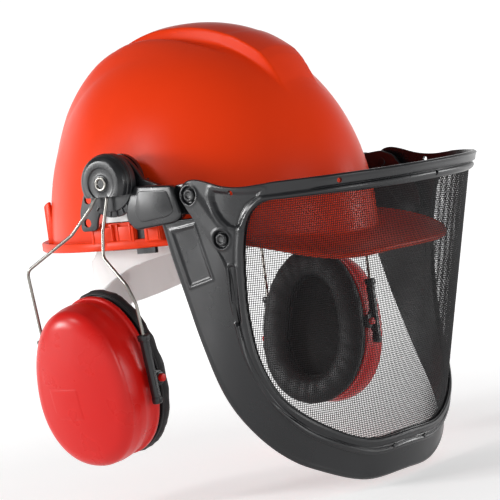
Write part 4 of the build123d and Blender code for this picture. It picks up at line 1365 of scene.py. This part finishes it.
for word in ("right", "left"):
    place = left_muff if word == "left" else as_made
    to_object(f"yoke_spring_{word}", *yoke_part(word == "left"), STEEL, f"yoke_{word}", [f"yoke_wire_{word}"],
              "steel", sharp=60)
    for end, y, ear_side in (("front", FRONT_Y, 1), ("rear", REAR_Y, -1)):
        to_object(f"holder_{end}_moulding_{word}", *place(holder_part(y, ear_side)), BLACK,
                  f"muff_slide_{word}", [f"holder_{end}_{word}"], "black_plastic")
    cup_body = f"cup_{word}"
    for name, part, material, node, slot, sharp in (
            (f"cup_{word}_bowl", merge(cup_part(), face_pad()), RED, "cup_shell", "red_plastic", 45),
            (f"cup_stub_pins_{word}", stub_part(), RED, "cup_stubs", "red_plastic", 40),
            (f"seat_ring_{word}", seat_part(), BLACK, "seat_plate", "black_plastic", 40),
            (f"foam_insert_{word}", foam_part(), FOAM, "cup_foam", "foam", 70)):
        to_object(name, *place(part), material, cup_body, [f"{node}_{word}"], slot, sharp=sharp)
    pad = to_object(f"cushion_{word}", *place(cushion), SKIN, cup_body, [f"ear_cushion_{word}"],
                    "cushion_skin", sharp=0)
    to_object(f"cushion_seam_{word}", *place(piping()), SKIN, cup_body, (), "cushion_skin", sharp=0)

# ---------------------------------------------------------------- nape buckle


def buckle_part():
    """Slider over the two ends of the nape strap, with two lock pins."""
    angles = np.radians(np.linspace(90 - 10.2, 90 + 10.2, 40))
    strap_w, strap_l = 80.9, 98.9
    section = [(100.4, -52), (100.4, -23), (101.9, -22.2), (101.9, -52.8), (100.4, -52)]
    rows = []
    for r, z in rounded_profile(section, 0.6, 3)[:-1]:
        rows.append(np.stack([strap_w * r / strap_l * np.cos(angles), r * np.sin(angles), z + 0 * angles], 1))
    faces = grid_faces(len(rows), len(angles), close_rows=True) + strip_ends(len(rows), len(angles))
    parts = [(np.vstack(rows), faces)]
    profile = rounded_profile([(0, 0.3), (0, 2.6), (2.2, 2.6), (2.6, 1.9), (2.6, 0.3)], 0.3, 3)
    for x in (-7.0, 7.0):
        v, f = lathe(profile, 28)
        parts.append((np.stack([x + v[:, 1], 100.6 - v[:, 0], -37 + v[:, 2]], 1), f))
    return merge(*parts)


to_object("nape_buckle", *buckle_part(), PALE, "helmet", ["nape_slider"], "pale_plastic")

# ---------------------------------------------------------------- harness keys


def key_part(y, angle, centre_x, z_low, z_high):
    """A clip of the harness against the inside of the shell."""
    half, pad = 8.0, 5.0
    plate = slab([(-half, z_low), (half, z_low), (half, z_high), (-half, z_high)], (-2.4, 2.4), 1.6, 0.5)
    raised = slab([(-pad, z_low + 2), (pad, z_low + 2), (pad, z_high), (-pad, z_high)], (1.6, 3.0), 1.0, 0.4)
    v, f = turn_about(merge(plate, raised), np.zeros(3), angle, "Z")
    return v + np.array((centre_x, y, 0)), f


keys = [key_part(-46, 20, -88.0, -10, 6), key_part(-57, 26, -83.5, -15, 0), key_part(56, -22, -88.0, 2, 15)]
to_object("harness_keys", *merge(*keys, *[mirror_x(k) for k in keys]), BLACK, "helmet", ["harness_anchors"],
          "black_plastic")

# ---------------------------------------------------------------- CAD nodes that stay

for node, material in (("slot_insert", PALE), ("adapter_base", BLACK)):
    for word in ("right", "left"):
        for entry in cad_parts[f"{node}_{word}"].material_slots:
            entry.material = material

# ---------------------------------------------------------------- floor and light

FLOOR_Z = -0.180
bm = bmesh.new()
bmesh.ops.create_circle(bm, cap_ends=True, segments=96, radius=8.0)
floor_mesh = bpy.data.meshes.new("floor")
bm.to_mesh(floor_mesh)
bm.free()
floor = bpy.data.objects.new("floor", floor_mesh)
floor.location = (0, 0, FLOOR_Z)
floor_mesh.materials.append(FLOOR)
bpy.context.collection.objects.link(floor)

world = bpy.data.worlds.new("studio")
world.use_nodes = True
sky = world.node_tree
sky_coords = sky.nodes.new("ShaderNodeTexCoord")
sky_split = sky.nodes.new("ShaderNodeSeparateXYZ")
sky.links.new(sky_coords.outputs["Generated"], sky_split.inputs["Vector"])
backdrop = sky.nodes.new("ShaderNodeVectorMath")
backdrop.operation = "DOT_PRODUCT"
backdrop.inputs[1].default_value = (0.80, 0.60, 0.0)
sky.links.new(sky_coords.outputs["Generated"], backdrop.inputs[0])


def sky_range(source, low, high, first, last):
    """Brightness that changes softly from first to last while the source goes from low to high."""
    node = sky.nodes.new("ShaderNodeMapRange")
    node.interpolation_type = "SMOOTHSTEP"
    for key, value in (("From Min", low), ("From Max", high), ("To Min", first), ("To Max", last)):
        node.inputs[key].default_value = value
    sky.links.new(source, node.inputs["Value"])
    return node.outputs["Result"]


sky_mix = sky.nodes.new("ShaderNodeMath")
sky_mix.operation = "MULTIPLY"
sky.links.new(sky_range(backdrop.outputs["Value"], 0.75, 0.95, 0.66, 1.08), sky_mix.inputs[0])
sky.links.new(sky_range(sky_split.outputs["Z"], 0.14, 0.50, 1.0, 0.30), sky_mix.inputs[1])
sky.links.new(sky_mix.outputs["Value"], sky.nodes["Background"].inputs["Strength"])
sky.nodes["Background"].inputs["Color"].default_value = (1, 1, 1, 1)
bpy.context.scene.world = world
bpy.context.scene.view_settings.view_transform = "Standard"


# name: place across, up and towards the camera in metres, power in watts, size in metres
LIGHTS = {"key": ((-1.5, 0.75, 0.85), 7, 0.35), "plates": ((-1.75, 0.10, 0.35), 17, 0.35),
          "front": ((1.1, 0.15, 1.1), 6, 0.6), "rim": ((-1.2, 0.2, -1.0), 1.5, 0.8),
          "side": ((1.6, 0.25, -0.45), 8, 0.5)}
for name, ((u, v, depth), power, size) in LIGHTS.items():
    data = bpy.data.lights.new(name, "AREA")
    data.energy = power
    data.size = size
    light = bpy.data.objects.new(name, data)
    light.location = TARGET + right_r * u + up_r * v + back * depth
    light.rotation_euler = (TARGET - light.location).to_track_quat("-Z", "Y").to_euler()
    bpy.context.collection.objects.link(light)
